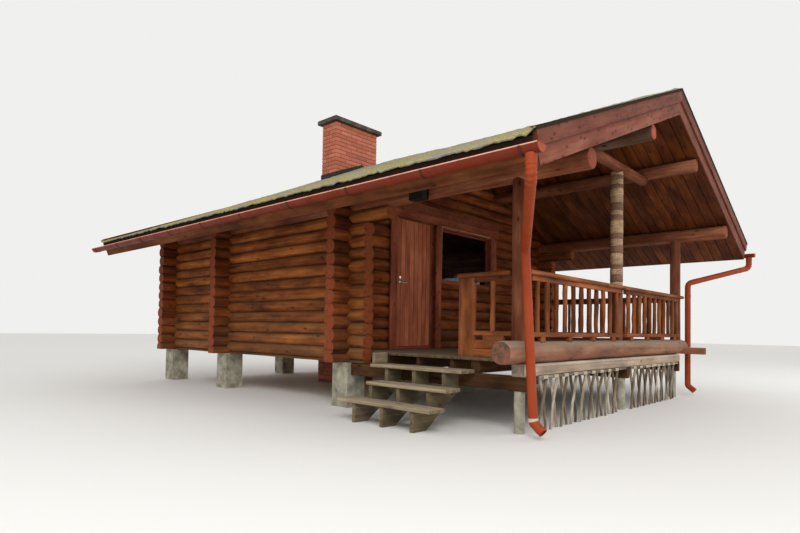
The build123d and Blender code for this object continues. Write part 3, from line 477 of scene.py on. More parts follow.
def rect(width, height, bevel):
    w, h = width / 2, height / 2
    c = min(bevel, 0.45 * width, 0.45 * height)
    return np.array([(w, -h + c), (w, h - c), (w - c, h), (c - w, h),
                     (-w, h - c), (-w, c - h), (c - w, -h), (w - c, -h)])


def circle(radius, sides, low=-9.0, high=9.0):
    """A round section, cut flat below low and above high."""
    turn = np.linspace(0, 2 * np.pi, sides, endpoint=False)
    ring = np.stack((radius * np.cos(turn), radius * np.sin(turn)), 1)
    ring[:, 1] = np.clip(ring[:, 1], low, high)
    return ring


def prism(start, stop, section, up=(0, 0, 1), chamfer=0.003, step=0.6, wobble=0.0, swell=0.0, smooth=False,
          tone=None, dirt=0.0, wear=0.0):
    """A bar with the section (side, up) from start to stop, its ends bevelled.

    The darkening, for dirt and for painted shade, is one value, or a function that gives each point of the section its
    own.
    """
    start, stop = np.asarray(start, float), np.asarray(stop, float)
    length = np.linalg.norm(stop - start)
    along = (stop - start) / length
    up = (0, 1, 0) if abs(np.dot(up, along)) > 0.95 * np.linalg.norm(up) else up
    side = np.cross(np.asarray(up, float), along)
    side /= np.linalg.norm(side)
    up = np.cross(along, side)
    tone = rng.random() if tone is None else tone
    phase = rng.random(6) * 6.28
    chamfer = min(chamfer, 0.2 * length)
    count = max(1, int(round(length / step)))
    run = np.concatenate(([0.0], np.linspace(chamfer, length - chamfer, count + 1), [length]))
    middle = section.mean(0)
    reach = np.abs(section - middle).max(0)
    end_scale = 1 - chamfer / np.maximum(reach, 1.05 * chamfer)
    points, grain = [], []
    for d in run:
        scale = end_scale if d in (0.0, length) else np.ones(2)
        swelling = 1 + swell * np.sin(5.1 * d + phase[0]) + 0.6 * swell * np.sin(11.7 * d + phase[1])
        ring = middle + (section - middle) * scale * swelling
        off_side = wobble * np.sin(2.3 * d + phase[2]) + 0.5 * wobble * np.sin(6.1 * d + phase[3])
        off_up = 0.6 * wobble * np.sin(2.9 * d + phase[4])
        centre = start + along * d
        points.append(centre + np.outer(ring[:, 0] + off_side, side) + np.outer(ring[:, 1] + off_up, up))
        grain.append(np.column_stack((np.full(len(ring), d), ring)))
    dirt = np.tile(dirt(section), len(run)) if callable(dirt) else dirt
    skin(points, grain, smooth, tone, dirt, wear)


def groove(section):
    """Painted shade and dirt in the seams between the courses."""
    return np.clip((np.abs(section[:, 1]) - 0.066) / 0.022, 0, 1)


def log(start, stop, radius, low=-9.0, high=9.0, sides=28, **more):
    prism(start, stop, circle(radius, sides, low, high), chamfer=0.008, step=0.30, wobble=0.0035, swell=0.012,
          smooth=True, **more)


def board(start, stop, width, height, bevel=0.004, **more):
    prism(start, stop, rect(width, height, bevel), **more)


def box(low, high, tone=None):
    """A board that fills the box, its grain along the longest side."""
    low, high = np.minimum(low, high), np.maximum(low, high)
    size = high - low
    axis = int(np.argmax(size))
    start = (low + high) / 2
    stop = start.copy()
    start[axis], stop[axis] = low[axis], high[axis]
    board(start, stop, *np.delete(size, axis), tone=tone)


def lying_x(x_a, x_b, y, z):
    return (x_a, y, z), (x_b, y, z)


def lying_y(x, y_a, y_b, z):
    return (x, y_a, z), (x, y_b, z)


def standing(x, y, z_a, z_b):
    return (x, y, z_a), (x, y, z_b)


def run_length(path):
    return np.concatenate(([0], np.cumsum(np.linalg.norm(np.diff(path, axis=0), axis=1))))


def rings(path, radii, sides):
    """Rings round the path's points, with their grain coordinates."""
    heading = np.gradient(path, axis=0)
    heading /= np.linalg.norm(heading, axis=1)[:, None]
    ref = np.array((0.0, 0.0, 1.0)) if abs(heading[0][2]) < 0.9 else np.array((0.0, 1.0, 0.0))
    points, grain = [], []
    for centre, along, radius, d in zip(path, heading, radii, run_length(path)):
        side = np.cross(ref, along)
        side /= np.linalg.norm(side)
        ref = np.cross(along, side)
        ring = circle(radius, sides)
        points.append(centre + np.outer(ring[:, 0], side) + np.outer(ring[:, 1], ref))
        grain.append(np.column_stack((np.full(sides, d), ring)))
    return points, grain


def tube(path, radii, sides=16, tone=0.5):
    """A round bar through the path's points, with a radius at each."""
    path = np.asarray(path, float)
    points, grain = rings(path, np.broadcast_to(radii, (len(path),)), sides)
    skin(points, grain, True, tone)


def hollow_tube(path, radii, wall, sides=24):
    """A pipe open at both ends, with a wall."""
    outer, grain = rings(path, radii, sides)
    inner = rings(path, radii - wall, sides)[0]
    m = len(path) * sides
    last = m - sides
    loop = [(k, (k + 1) % sides) for k in range(sides)]
    faces = strips(len(path), sides)
    faces += [tuple(m + v for v in face) for face in turned(faces)]
    faces += [(j, m + j, m + k, k) for j, k in loop]
    faces += [(last + j, last + k, m + last + k, m + last + j) for j, k in loop]
    b.add(np.concatenate(outer + inner), faces, True, np.concatenate(grain + grain), tone=0.5)


def extrude_y(outline, y_a, y_b, **values):
    """A closed outline in X and Z run along Y, with flat ends."""
    x, z = np.asarray(outline, float).T
    if np.sum(x * np.roll(z, -1) - np.roll(x, -1) * z) < 0:
        x, z = x[::-1], z[::-1]
    k = len(x)
    near = np.column_stack((x, np.full(k, y_a), z))
    far = near + (0, y_b - y_a, 0)
    b.add(np.concatenate((near, far)), turned(strips(2, k)), **values)
    b.add(near, [tuple(range(k))], **values)
    b.add(far, [tuple(range(k - 1, -1, -1))], **values)


# Log walls
def low_wear(z):
    """Walls weather more near the ground."""
    return float(np.clip(0.42 - 0.42 * (z - 0.6) / 0.8, 0.0, 0.45))


def course(start, stop, z, low, high):
    log(start, stop, LOG_R, low, high, 22, dirt=groove, wear=low_wear(z))


for side, word in SIDES:
    for k, z in enumerate(SIDE_LEVELS):
        front = Y_WALL - (STUB if k else CORBEL) + rng.uniform(0.0, 0.012)
        rear = Y_REAR + STUB - rng.uniform(0.0, 0.012)
        course(*lying_y(side * SIDE_X, front, rear, z), z, max(BASE - z, -LOG_R), LOG_R)
    b.piece(f"logs_{word}", LOG, "log", f"{word}_wall")


def cross_logs(name, node, y, z_a, z_b, x_a=-STUB_END, x_b=STUB_END):
    """Courses of a wall across the cabin, cut to the slopes and at the openings' edges."""
    for z in CROSS_LEVELS:
        low, high = max(-LOG_R, z_a - z), min(LOG_R, z_b - z)
        if high - low < 0.006:
            continue
        left, right = x_a, x_b
        if z - LOG_R > SOFFIT_APEX - SLOPE * STUB_END - 0.05:
            reach = min(STUB_END, (SOFFIT_APEX - z + 0.6 * LOG_R) / SLOPE + 0.05)
            left, right = max(left, -reach), min(right, reach)
        if x_a <= -STUB_END:
            left += rng.uniform(0.0, 0.012)
        if x_b >= STUB_END:
            right -= rng.uniform(0.0, 0.012)
        course(*lying_x(left, right, y, z), z, low, high)
    # The stubs outside the side walls are darker
    b.values["dirt"] = [np.maximum(dirt, 0.42 * (np.abs(points[:, 0]) > SIDE_X + 0.05) * (cut < 0.5))
                        for points, dirt, cut in zip(b.points, b.values["dirt"], b.values["cut"])]
    b.piece(name, CROSS_LOG, "log", node)


cross_logs("logs_front_lower", "front_wall_lower", Y_WALL, BASE, DECK)
cross_logs("logs_front_left", "front_wall_left", Y_WALL, DECK, HEAD, x_b=DOOR_L)
cross_logs("logs_under_window", "front_wall_under_window", Y_WALL, DECK, SILL, DOOR_R)
cross_logs("logs_front_right", "front_wall_right", Y_WALL, SILL, HEAD, WINDOW_R)
cross_logs("logs_front_gable", "front_gable", Y_WALL, HEAD, ROOF_APEX)
cross_logs("logs_inner_left", "inner_wall_left", Y_INNER, BASE, HEAD, x_b=0.900)
cross_logs("logs_inner_right", "inner_wall_right", Y_INNER, BASE, HEAD, 1.700)
cross_logs("logs_inner_gable", "inner_gable", Y_INNER, HEAD, ROOF_APEX)
cross_logs("logs_rear", "rear_wall", Y_REAR, BASE, ROOF_APEX)

# Logs under the roof
for side, word in SIDES:
    for x, z, radius, kind in ((SIDE_X, PLATE, PLATE_R, "plate_log"), (PURLIN_X, PURLIN_Z, PURLIN_R, "purlin_log")):
        log(*lying_y(side * x, Y_FRONT + 0.06, Y_BACK - 0.06, z), radius)
        material = PURLIN if (word, kind) == ("left", "purlin_log") else BROWN_LOG
        b.piece(f"{kind}s_{word}", material, "brown_log", f"{kind}_{word}")
log(*lying_x(-0.968, 0.858, Y_POST, BOLSTER_Z), BOLSTER_R)
b.piece("bolster", BROWN_LOG, "brown_log", "bolster_log")

# Porch posts. The middle one is wrapped above the handrail.
POST_FROM, POST_TO, WRAP_FROM = SILL_LOG_Z + 0.07, PLATE - 0.05, 1.60
for x, top, radius, word in ((-SIDE_X, POST_TO, POST_R - 0.001, "left"), (SIDE_X, POST_TO, POST_R - 0.001, "right"),
                             (0, WRAP_FROM, POST_R, "middle")):
    log(*standing(x, Y_STAND, POST_FROM, top), radius)
    b.piece(f"post_{word}", BROWN_LOG, "brown_log", f"porch_post_{word}")
z, top = WRAP_FROM, BOLSTER_Z - 0.04
tones = (0.9, 0.2, 0.8, 0.1, 0.7, 0.95, 0.15, 0.75, 0.3, 0.85)
while z < top:
    height = min(rng.uniform(0.055, 0.105), top - z)
    band = circle(rng.uniform(0.079, 0.0825), 28)
    prism(*standing(0, Y_STAND, z, z + height), band, chamfer=0.004, smooth=True, tone=tones[0])
    z += height
    tones = tones[1:] + tones[:1]
b.piece("post_middle_wrap", WRAP, "brown_log")

# Sill log, squared timber and deck frame
log(*lying_x(-2.875, 2.655, Y_POST, SILL_LOG_Z), SILL_LOG_R, wear=0.1)
board(*lying_y(SIDE_X, Y_POST - 0.413, Y_POST, 0.744), 0.098, 0.106, 0.008)
b.piece("sill_log", SILL_WOOD, "grey_timber", "porch_sill_log")
board(*lying_x(-2.610, 2.250, Y_POST - 0.025, 0.629), 0.149, 0.121, 0.010, wobble=0.002)
b.piece("sill_timber", GREY, "grey_timber", "porch_sill_timber")
for x in np.arange(-2.500, 2.240, 0.046):
    tube(lying_y(x, Y_POST - 0.0980, Y_POST - 0.1020, 0.674 + rng.uniform(-0.002, 0.002)), 0.0070, 6)
b.piece("timber_nails", NAIL, "grey_timber")
for place, width in ((0.525, 0.110), (0.840, 0.050), (1.330, 0.050), (1.820, 0.050)):
    board(*lying_x(-2.549, 2.549, Y_POST + place, BEARER_TOP + 0.0675), width - 0.002, 0.135, 0.006)
for x in (-2.530, 0.060, 2.200):
    board(*lying_y(x, Y_POST - 0.099, Y_WALL - 0.151, BEARER_TOP - 0.075), 0.089, 0.149, 0.006)
b.piece("deck_beams", BEAM, "grey_timber", "deck_frame")

# Deck boards, shortened between the side walls and past the left stub
DECK_PITCH, DECK_END, INSIDE = 0.118, 2.579, SIDE_X - LOG_R - 0.001
y = Y_POST + SILL_LOG_R + 0.001
while y < Y_WALL - LOG_R - 0.03:
    width = min(DECK_PITCH, Y_WALL - LOG_R - 0.001 - y)
    left = DECK_END if y + width < Y_POST + 1.841 else INSIDE
    right = DECK_END if y + width < Y_WALL - STUB else INSIDE
    board(*lying_x(-left, right, y + width / 2, DECK - 0.016), width - 0.006, 0.032, 0.003)
    y += DECK_PITCH
b.piece("deck_boards", DECK_WOOD, "grey_timber", "porch_deck")

# Floor boards: those that meet the chimney stop in front of it
FLOOR_PITCH, FLOOR_MID = 0.120, FLOOR - 0.065
for y_a, y_b in ((Y_WALL + LOG_R, Y_INNER - LOG_R), (Y_INNER + LOG_R, Y_REAR - LOG_R)):
    x = -INSIDE
    while x < SIDE_X - LOG_R - 0.02:
        width = min(FLOOR_PITCH, INSIDE - x)
        free = y_b > Y_INNER or x + width < -0.68 or x > 0.41
        board(*lying_y(x + width / 2, y_a, y_b if free else y_b - 0.41, FLOOR_MID), width - 0.002, 0.130, 0.002)
        x += FLOOR_PITCH
board(*lying_x(0.902, 1.698, Y_INNER, FLOOR_MID), 2 * LOG_R + 0.01, 0.130, 0.002)
b.piece("floor_boards", FLOOR_BOARD, "floor_boards", "cabin_floor")

# Roof
RUN = EAVE / PER
ROOF_FROM, ROOF_TO = Y_FRONT + 0.029, Y_BACK - 0.029


def on_slope(side, along, drop):
    """X and Z of a point on a slope: along from the ridge, drop square under the roof's top face."""
    return side * (along * PER - drop * SLOPE * PER), ROOF_APEX - along * SLOPE * PER - drop * PER


def slope_point(side, along, drop, y):
    x, z = on_slope(side, along, drop)
    return np.array((x, y, z))


SOFFIT_PITCH, SOFFIT_DROP = 0.148, 0.289
FELT_ACROSS, FELT_THICK, FELT_REACH = 54, 0.016, 0.034
VERGE_ROWS = np.array((0.0, 0.015, 0.040, 0.070))
FELT_Y = np.concatenate((Y_FRONT + VERGE_ROWS, np.linspace(Y_FRONT + 0.100, Y_BACK - 0.100, 200),
                         Y_BACK - VERGE_ROWS[::-1]))
WAVES = np.column_stack([rng.uniform(*span, 26) for span in ((1.0, 12.0), (1.5, 18.0), (0, 6.28), (0, 6.28))])
RIDGE_RISE = 0.020 + 0.060 * np.exp(-((FELT_Y - 1.0) / 1.9) ** 2) + 0.006 * np.sin(5.3 * FELT_Y) * np.sin(1.9 * FELT_Y)
for side, word in SIDES:
    normal = (side * SLOPE * PER, 0, PER)
    # Soffit boards run down the slope
    y = ROOF_FROM
    while y < ROOF_TO:
        width = min(SOFFIT_PITCH, ROOF_TO - y)
        ends = [slope_point(side, along, SOFFIT_DROP, y + width / 2) for along in (0.125, RUN)]
        board(*ends, width - 0.010, 0.022, 0.003, up=normal)
        y += SOFFIT_PITCH
    b.piece(f"soffit_boards_{word}", SOFFIT_BOARD, "red_board")
    # Body of the roof between the soffit and the felt, darkened nearly black as painted shade inside the roof
    body = [on_slope(side, *at) for at in ((0.0, 0.022), (RUN, 0.068), (RUN, 0.278), (0.115, 0.278))]
    extrude_y(body, ROOF_FROM, ROOF_TO, tone=0.2, dirt=0.8)
    b.piece(f"roof_body_{word}", SOFFIT_BOARD, "roof", f"roof_{word}")
    # Felt and moss: lower than the bargeboards at the eave and turned up along them
    uu, yy = np.meshgrid(np.linspace(0, 1, FELT_ACROSS + 1), FELT_Y, indexing="ij")
    along = uu * (RUN + FELT_REACH)
    rough = sum(np.sin(fa * along + pa) * np.sin(fy * yy + py) for fa, fy, pa, py in WAVES) / len(WAVES) ** 0.5
    inner = np.clip(np.minimum(yy - Y_FRONT, Y_BACK - yy) / 0.060, 0, 1)
    moss = 0.50 + 0.16 * rough + 0.10 * (uu - 0.5)
    height = 0.004 + inner * (RIDGE_RISE * (1 - uu) ** 1.5 - (0.050 if side < 0 else 0.015) * uu)
    grit = rng.normal(0, 0.0045, uu.shape) * (uu > 0.01)
    height = height + inner * (0.030 * np.clip(moss - 0.35, 0, 0.5) + grit)
    top = np.stack((side * along * PER, yy, ROOF_APEX - along * SLOPE * PER + height), -1).reshape(-1, 3)
    low = top - (0, 0, FELT_THICK)
    m = len(FELT_Y)
    sheet = turned(strips(FELT_ACROSS + 1, m, False), side > 0)
    b.add(top, sheet, True, moss=moss.ravel())
    # Painted shade: the felt's underside is darkened all over, and its rim is darker at the lower edge than at the top
    b.add(low, turned(sheet), dirt=1.0)
    edge = [i * m for i in range(FELT_ACROSS + 1)] + [FELT_ACROSS * m + j for j in range(1, m)]
    edge += [i * m + m - 1 for i in range(FELT_ACROSS - 1, -1, -1)] + list(range(m - 2, 0, -1))
    rim = turned(strips(2, len(edge)), side > 0)
    b.add(np.concatenate((top[edge], low[edge])), rim, dirt=np.repeat((0.1, 0.6), len(edge)), moss=0.5)
    b.piece(f"felt_{word}", FELT, "roof")
    # Felt hanging over the eave, its edge uneven
    y = Y_FRONT + 0.030
    while y < Y_BACK - 0.031:
        y_next = min(y + rng.uniform(0.10, 0.35), Y_BACK - 0.030)
        high = 0.058 if side < 0 else 0.024
        drop = high + rng.uniform(0.040, 0.062)
        flap = [on_slope(side, RUN + out, at)
                for out, at in ((0.022, high), (0.031, high), (0.031, drop), (0.022, drop))]
        extrude_y(flap, y, y_next)
        y = y_next
    b.piece(f"felt_edge_{word}", DARK_FELT, "roof")
    # Two fascia boards, the upper one darkened with painted shade where the gutter shades it
    for drop, width, dirt in ((0.107, 0.086, 0.6), (0.225, 0.149, 0.0)):
        ends = [slope_point(side, RUN + 0.012, drop, y) for y in (ROOF_FROM, ROOF_TO)]
        board(*ends, 0.024, width, 0.003, up=normal, dirt=dirt)
    b.piece(f"fascia_board_{word}", FASCIA_BOARD, "red_board", f"fascia_{word}")

# Bargeboards: two boards a slope, the lower one set back
BARGE_STEPS, BARGE_THICK = 24, 0.040
for y_edge, facing, place in ((Y_FRONT, -1, "front"), (Y_BACK, 1, "rear")):
    for side, word in SIDES:
        for top, foot, back in ((0.001, 0.148, 0.0), (0.151, 0.298, 0.022)):
            edges = [np.linspace((0.0, ROOF_APEX - drop / PER), on_slope(side, RUN, drop), BARGE_STEPS)
                     for drop in (top, foot)]
            y_out, y_in = y_edge - facing * back, y_edge - facing * BARGE_THICK
            corners = ((0.075, y_out), (-0.075, y_out), (-0.075, y_in), (0.075, y_in))
            order = 1 if side * facing < 0 else -1
            points, grain = [], []
            for d, (x_a, z_a), (x_b, z_b) in zip(np.linspace(0, RUN, BARGE_STEPS), *edges):
                ring = [(x_a, y_out, z_a), (x_b, y_out, z_b), (x_b, y_in, z_b), (x_a, y_in, z_a)]
                points.append(np.array(ring[::order]))
                grain.append(np.array([(d, up, y - y_out) for up, y in corners][::order]))
            skin(points, grain, False, rng.random())
        b.piece(f"barge_{place}_{word}", RED_BOARD, "red_board", f"bargeboard_{place}_{word}")

# Felt strips folded over the bargeboards' top edges
for side, word in SIDES:
    for y, out in ((Y_FRONT, -1), (Y_BACK, 1)):
        for drop, reach, height in ((-0.004, -0.050, 0.008), (0.012, 0.0008, 0.026)):
            middle = y + out * (reach + 0.006) / 2
            ends = [slope_point(side, along, drop, middle) for along in (0.0, RUN + 0.010)]
            board(*ends, 0.006 - reach, height, 0.002, up=(side * SLOPE * PER, 0, PER))
b.piece("verge_felt", DARK_FELT, "roof")

# Chimney: courses of brick round a mortar core
CH_X0, CH_X1, CH_TOP = -0.670, 0.400, 4.930
CH_Y1 = Y_INNER - LOG_R - 0.0003
CH_Y0 = CH_Y1 - 0.400
COURSE, JOINT, BRICK_L, BRICK_W = 0.075, 0.011, 0.265, 0.120
box((CH_X0 + 0.006, CH_Y0 + 0.006, 0.0), (CH_X1 - 0.006, CH_Y1 - 0.006, CH_TOP))
b.piece("stack_mortar", MORTAR, "brick")
for k in range(int(CH_TOP / COURSE)):
    z_a = CH_TOP - (k + 1) * COURSE + JOINT / 2
    z_b = z_a + COURSE - JOINT
    for low, high, face, inward, axis in ((CH_X0, CH_X1, CH_Y0, 1, 0), (CH_X0, CH_X1, CH_Y1, -1, 0),
                                          (CH_Y0, CH_Y1, CH_X0, 1, 1), (CH_Y0, CH_Y1, CH_X1, -1, 1)):
        inset = 0.0 if (k + axis) % 2 else BRICK_W + JOINT
        low, high = low + inset, high - inset
        number = round((high - low + JOINT) / BRICK_L)
        unit = (high - low + JOINT) / number
        for j in range(number):
            a, c = low + unit * j, low + unit * (j + 1) - JOINT
            deep = face + inward * BRICK_W
            if axis == 0:
                box((a, face, z_a), (c, deep, z_b))
            else:
                box((face, a, z_a), (deep, c, z_b))
b.piece("stack_bricks", BRICK, "brick", "chimney_stack")

# Gutters with bands at the joints, hooks, a rolled lip and end caps
GUT_R, GUT_Z = 0.062, 2.417
GUT_X = EAVE + 0.024 + GUT_R
UNDER = np.radians(np.linspace(180, 360, 17))


def arc(side, turn, radius, x=GUT_X, z=GUT_Z, tall=None):
    """An arc across a gutter, as high as tall says."""
    return [(side * (x + radius * np.cos(t)), z + (tall or radius) * np.sin(t)) for t in turn]


def band(side, thick, y, half):
    """A strap round the gutter's underside."""
    extrude_y(arc(side, UNDER, GUT_R + thick) + arc(side, UNDER[::-1], GUT_R - 0.001), y - half, y + half)


for side, word in SIDES:
    edge = arc(side, np.radians(np.linspace(0, 250, 8)), 0.007, GUT_X + GUT_R - 0.007, GUT_Z + 0.002)
    outline = arc(side, UNDER, GUT_R) + edge + arc(side, UNDER[::-1], GUT_R - 0.004)
    stations = np.linspace(Y_FRONT - 0.095, Y_BACK + 0.095, 5)
    for y_a, y_b in zip(stations[:-1], stations[1:]):
        extrude_y(outline, y_a, y_b)
    for y in stations[1:-1]:
        band(side, 0.003, y, 0.035)
    b.piece(f"gutter_run_{word}", GUTTER_PAINT_AND_SHADE, "orange_metal", f"gutter_{word}")
    x_in = EAVE + 0.024 / PER - (ROOF_APEX - SLOPE * EAVE - GUT_Z) * SLOPE
    x_out = EAVE + 0.026
    arm = [(side * x, GUT_Z + z) for x, z in ((x_in, 0.005), (x_out, 0.005), (x_out, -0.005), (x_in, -0.005))]
    for y in np.linspace(Y_FRONT + 0.060, Y_BACK - 0.060, 10):
        band(side, 0.005, y, 0.0125)
        extrude_y(arm, y - 0.0125, y + 0.0125)
    b.piece(f"gutter_hooks_{word}", HOOK, "orange_metal")
    # The rolled lip, in pale paint that is a painted highlight along its sky-facing edge
    x, z = side * (GUT_X + GUT_R - 0.005), GUT_Z + 0.004
    tube([(x, y, z) for y in np.linspace(Y_FRONT - 0.092, Y_BACK + 0.092, 4)], 0.007, 8)
    b.piece(f"gutter_lip_{word}", PAINTED_HIGHLIGHT_LIP, "orange_metal")
    for y in (Y_FRONT - 0.0985, Y_BACK + 0.0945):
        extrude_y(arc(side, UNDER, GUT_R + 0.003, z=z, tall=GUT_R + 0.005), y, y + 0.004)
    b.piece(f"gutter_caps_{word}", PIPE_PAINT, "orange_metal")


# Downpipes
BEND_POINTS = 13


def corner_path(points, radii):
    """Points along a path whose corners are rounded to the radii."""
    points = [np.array(p, float) for p in points]
    path = [points[0]]
    for before, corner, after, radius in zip(points, points[1:], points[2:], radii):
        a, c = ((p - corner) / np.linalg.norm(p - corner) for p in (before, after))
        half = np.arccos(np.clip(a @ c, -1, 1)) / 2
        cut = radius / np.tan(half)
        centre = corner + (a + c) / np.linalg.norm(a + c) * radius / np.sin(half)
        p, q = corner + a * cut - centre, corner + c * cut - centre
        angle = np.arccos(np.clip(p @ q / radius ** 2, -1, 1))
        path += [centre + (np.sin((1 - t) * angle) * p + np.sin(t * angle) * q) / np.sin(angle)
                 for t in np.linspace(0, 1, BEND_POINTS)]
    return np.array(path + [points[-1]])


PIPE_R, FOOT, SHOE = 0.047, 0.072, 0.105
OUTLET_Y, ELBOW_Z = Y_POST - 0.785, 2.175
for side, word, x, z_low, y_low, y_foot in ((-1, "left", 2.700, 1.790, 0.150, 0.250),
                                            (1, "right", 2.720, 1.868, 0.087, 0.087)):
    x *= side
    corners = [(side * GUT_X, OUTLET_Y, GUT_Z - 0.055), (side * GUT_X, OUTLET_Y, ELBOW_Z), (x, Y_POST - y_low, z_low),
               (x, Y_POST - y_foot, FOOT + 0.085), (x, Y_POST - y_foot - SHOE, FOOT)]
    path = corner_path(corners, (0.090, 0.090, 0.050))
    fine = [path[0]]
    for p, q in zip(path[:-1], path[1:]):
        near = np.linalg.norm((p + q) / 2 - corners[1]) < 0.20
        steps = max(1, int(np.linalg.norm(q - p) / (0.004 if near else 0.020)))
        fine += [p + (q - p) * j / steps for j in range(1, steps + 1)]
    fine = np.array(fine)
    d = run_length(fine)
    radius = np.full(len(fine), PIPE_R - 0.0022)
    # Ribs in the upper bend, plain collars where lengths are joined
    bend = np.linalg.norm(fine - path[(BEND_POINTS + 1) // 2], axis=1)
    radius += np.where(bend < 0.110, 0.0032 * np.sin(d * 2 * np.pi / 0.036), 0.0)
    d_low = d[np.argmin(np.linalg.norm(fine - corners[2], axis=1))]
    d_end = d[np.argmin(np.linalg.norm(fine - path[2 * BEND_POINTS], axis=1))]
    for at in (0.03, 0.36, d_low - 0.12, d_low + 0.20, d_end - 0.25):
        radius += np.where(abs(d - at) < 0.022, 0.0022, 0.0)
    radius[-3:] += 0.002
    hollow_tube(fine, radius, 0.003)
    b.piece(f"pipe_{word}", PIPE_PAINT, "orange_metal", f"downpipe_{word}")
    if side < 0:
        tube(fine[-19:-13], radius[-19:-13] + 0.003, 24)
        b.piece("pipe_tape", TAPE, "orange_metal")

# Door: frame boards with stops behind the leaf
Y_IN = Y_WALL + LOG_R
GAP_L, GAP_R, GAP_TOP, Y_STOP = LEAF_L - 0.008, LEAF_R + 0.005, LEAF_TOP + 0.005, Y_LEAF + 0.050
for x_a, x_b, y, z_a, z_b, tone in (
        (DOOR_L, GAP_L, Y_LEAF, FLOOR - 0.035, HEAD, 0.3), (GAP_R, DOOR_R, Y_LEAF, FLOOR - 0.035, HEAD, 0.6),
        (GAP_L, GAP_R, Y_LEAF, GAP_TOP, HEAD, 0.5), (GAP_L, GAP_R, Y_LEAF, DECK, FLOOR, 0.4),
        (GAP_L, LEAF_L + 0.015, Y_STOP, FLOOR, GAP_TOP, 0.5), (LEAF_R - 0.015, GAP_R, Y_STOP, FLOOR, GAP_TOP, 0.5),
        (LEAF_L, LEAF_R, Y_STOP, LEAF_TOP - 0.015, GAP_TOP, 0.5)):
    box((x_a, y, z_a), (x_b, Y_IN, z_b), tone)
b.piece("door_jambs", CASING, "red_board", "door_frame")


def seam(section):
    """Dirt on the edges of the door's boards."""
    side = np.abs(section[:, 0])
    return 0.75 * (side > side.max() - 1e-4)


edges = [LEAF_L, *np.linspace(LEAF_L + 0.020, LEAF_R, 9)]
for x_a, x_b in zip(edges[:-1], edges[1:]):
    board(*standing((x_a + x_b) / 2, Y_LEAF + 0.010, FLOOR + 0.005, LEAF_TOP), x_b - x_a - 0.0005, 0.020, 0.005,
          dirt=seam)
box((LEAF_L, Y_LEAF + 0.012, FLOOR + 0.005), (LEAF_R, Y_LEAF + 0.045, LEAF_TOP), 0.5)
b.piece("door_boards", DOOR_BOARD, "door_boards", "door_leaf", body="door")

# Lever handle, its rose and the keyhole plate above it
LEVER_X, LEVER_Z, KEYHOLE_UP = LEAF_L + 0.085, 1.690, 0.075
Y_BAR = Y_LEAF - 0.046
for z in (LEVER_Z, LEVER_Z + KEYHOLE_UP):
    tube([(LEVER_X, Y_LEAF - out, z) for out in (0.0, 0.004, 0.008, 0.010)], (0.024, 0.024, 0.023, 0.019), 28)
lever = [(LEVER_X, Y_LEAF - 0.006, LEVER_Z), (LEVER_X, Y_BAR, LEVER_Z), (LEVER_X + 0.126, Y_BAR, LEVER_Z)]
tube(corner_path(lever, (0.016,)), 0.0088, 18)
tube(lying_y(LEVER_X, Y_LEAF - 0.0095, Y_LEAF - 0.0105, LEVER_Z + 0.082), 0.005, 12)
b.piece("lever_handle", STEEL, "steel", "door_handle", body="door")

# Casing and header
CASING_T = 0.028
Y_CASING = Y_WALL - LOG_R - 0.0003 - CASING_T / 2
for x, width, z in ((DOOR_L - 0.028, 0.140, DECK), (-0.7625, 0.125, DECK), (WINDOW_R + 0.043, 0.170, SILL - 0.060)):
    board(*standing(x, Y_CASING, z, HEAD_BOARD), width, CASING_T)
for z, width in ((2.692, 0.122), (2.818, 0.124)):
    board(*lying_x(-1.880, 0.880, Y_CASING, z), width, CASING_T, up=(0, 1, 0))
b.piece("casing_boards", CASING, "red_board", "front_casing")

# Window: frame, sash and the pale trim round its opening
Y_OUT, Y_SASH = Y_WALL - LOG_R, (Y_WALL - 0.040, Y_WALL - 0.014)
Y_FRAME = (Y_OUT, Y_WALL + LOG_R / 2)
PANE_L, PANE_R, PANE_LOW, PANE_TOP = DOOR_R + 0.090, WINDOW_R - 0.040, SILL + 0.040, HEAD - 0.090
SASH = 0.022
for x_a, x_b, (y_a, y_b), z_a, z_b, tone in (
        (DOOR_R, PANE_L, Y_FRAME, SILL, HEAD, 0.4), (PANE_R, WINDOW_R, Y_FRAME, SILL, HEAD, 0.5),
        (PANE_L, PANE_R, Y_FRAME, PANE_TOP, HEAD, 0.6), (PANE_L, PANE_R, Y_FRAME, SILL, PANE_LOW, 0.3),
        (PANE_L, PANE_L + SASH, Y_SASH, PANE_LOW, PANE_TOP, 0.7),
        (PANE_R - SASH, PANE_R, Y_SASH, PANE_LOW, PANE_TOP, 0.7),
        (PANE_L, PANE_R, Y_SASH, PANE_TOP - SASH, PANE_TOP, 0.7),
        (PANE_L, PANE_R, Y_SASH, PANE_LOW, PANE_LOW + SASH, 0.7)):
    box((x_a, y_a, z_a), (x_b, y_b, z_b), tone)
b.piece("window_boards", CASING, "red_board", "window_frame")
for x_a, x_b, z in ((-0.6995, -0.6880, SILL + 0.005), (-0.6875, WINDOW_R - 0.043, 2.6175)):
    box((x_a, Y_OUT - 0.026, z), (x_b, Y_OUT, HEAD_BOARD), 0.5)
b.piece("window_trim", TRIM, "red_board")

# Railings: top rail, sub rail and bottom rail with balusters between them
RAIL_Y, RAIL_TOP, RAIL_T, BALUSTER_PITCH = Y_POST - 0.040, 1.637, 0.045, 0.206
SUB_TOP = RAIL_TOP - RAIL_T
RAIL_Z, SUB_Z, BALUSTER_TOP = RAIL_TOP - RAIL_T / 2, SUB_TOP - 0.0275, SUB_TOP - 0.050


def baluster(x, y, z_low):
    """A peeled stick, uneven along its length."""
    wobble = rng.uniform(-0.003, 0.003, (6, 2))
    radii = 0.0275 + rng.uniform(-0.003, 0.002, 6)
    path = [(x + w[0], y + w[1], z) for w, z in zip(wobble, np.linspace(z_low, BALUSTER_TOP, 6))]
    tube(path, radii, 14, rng.random())


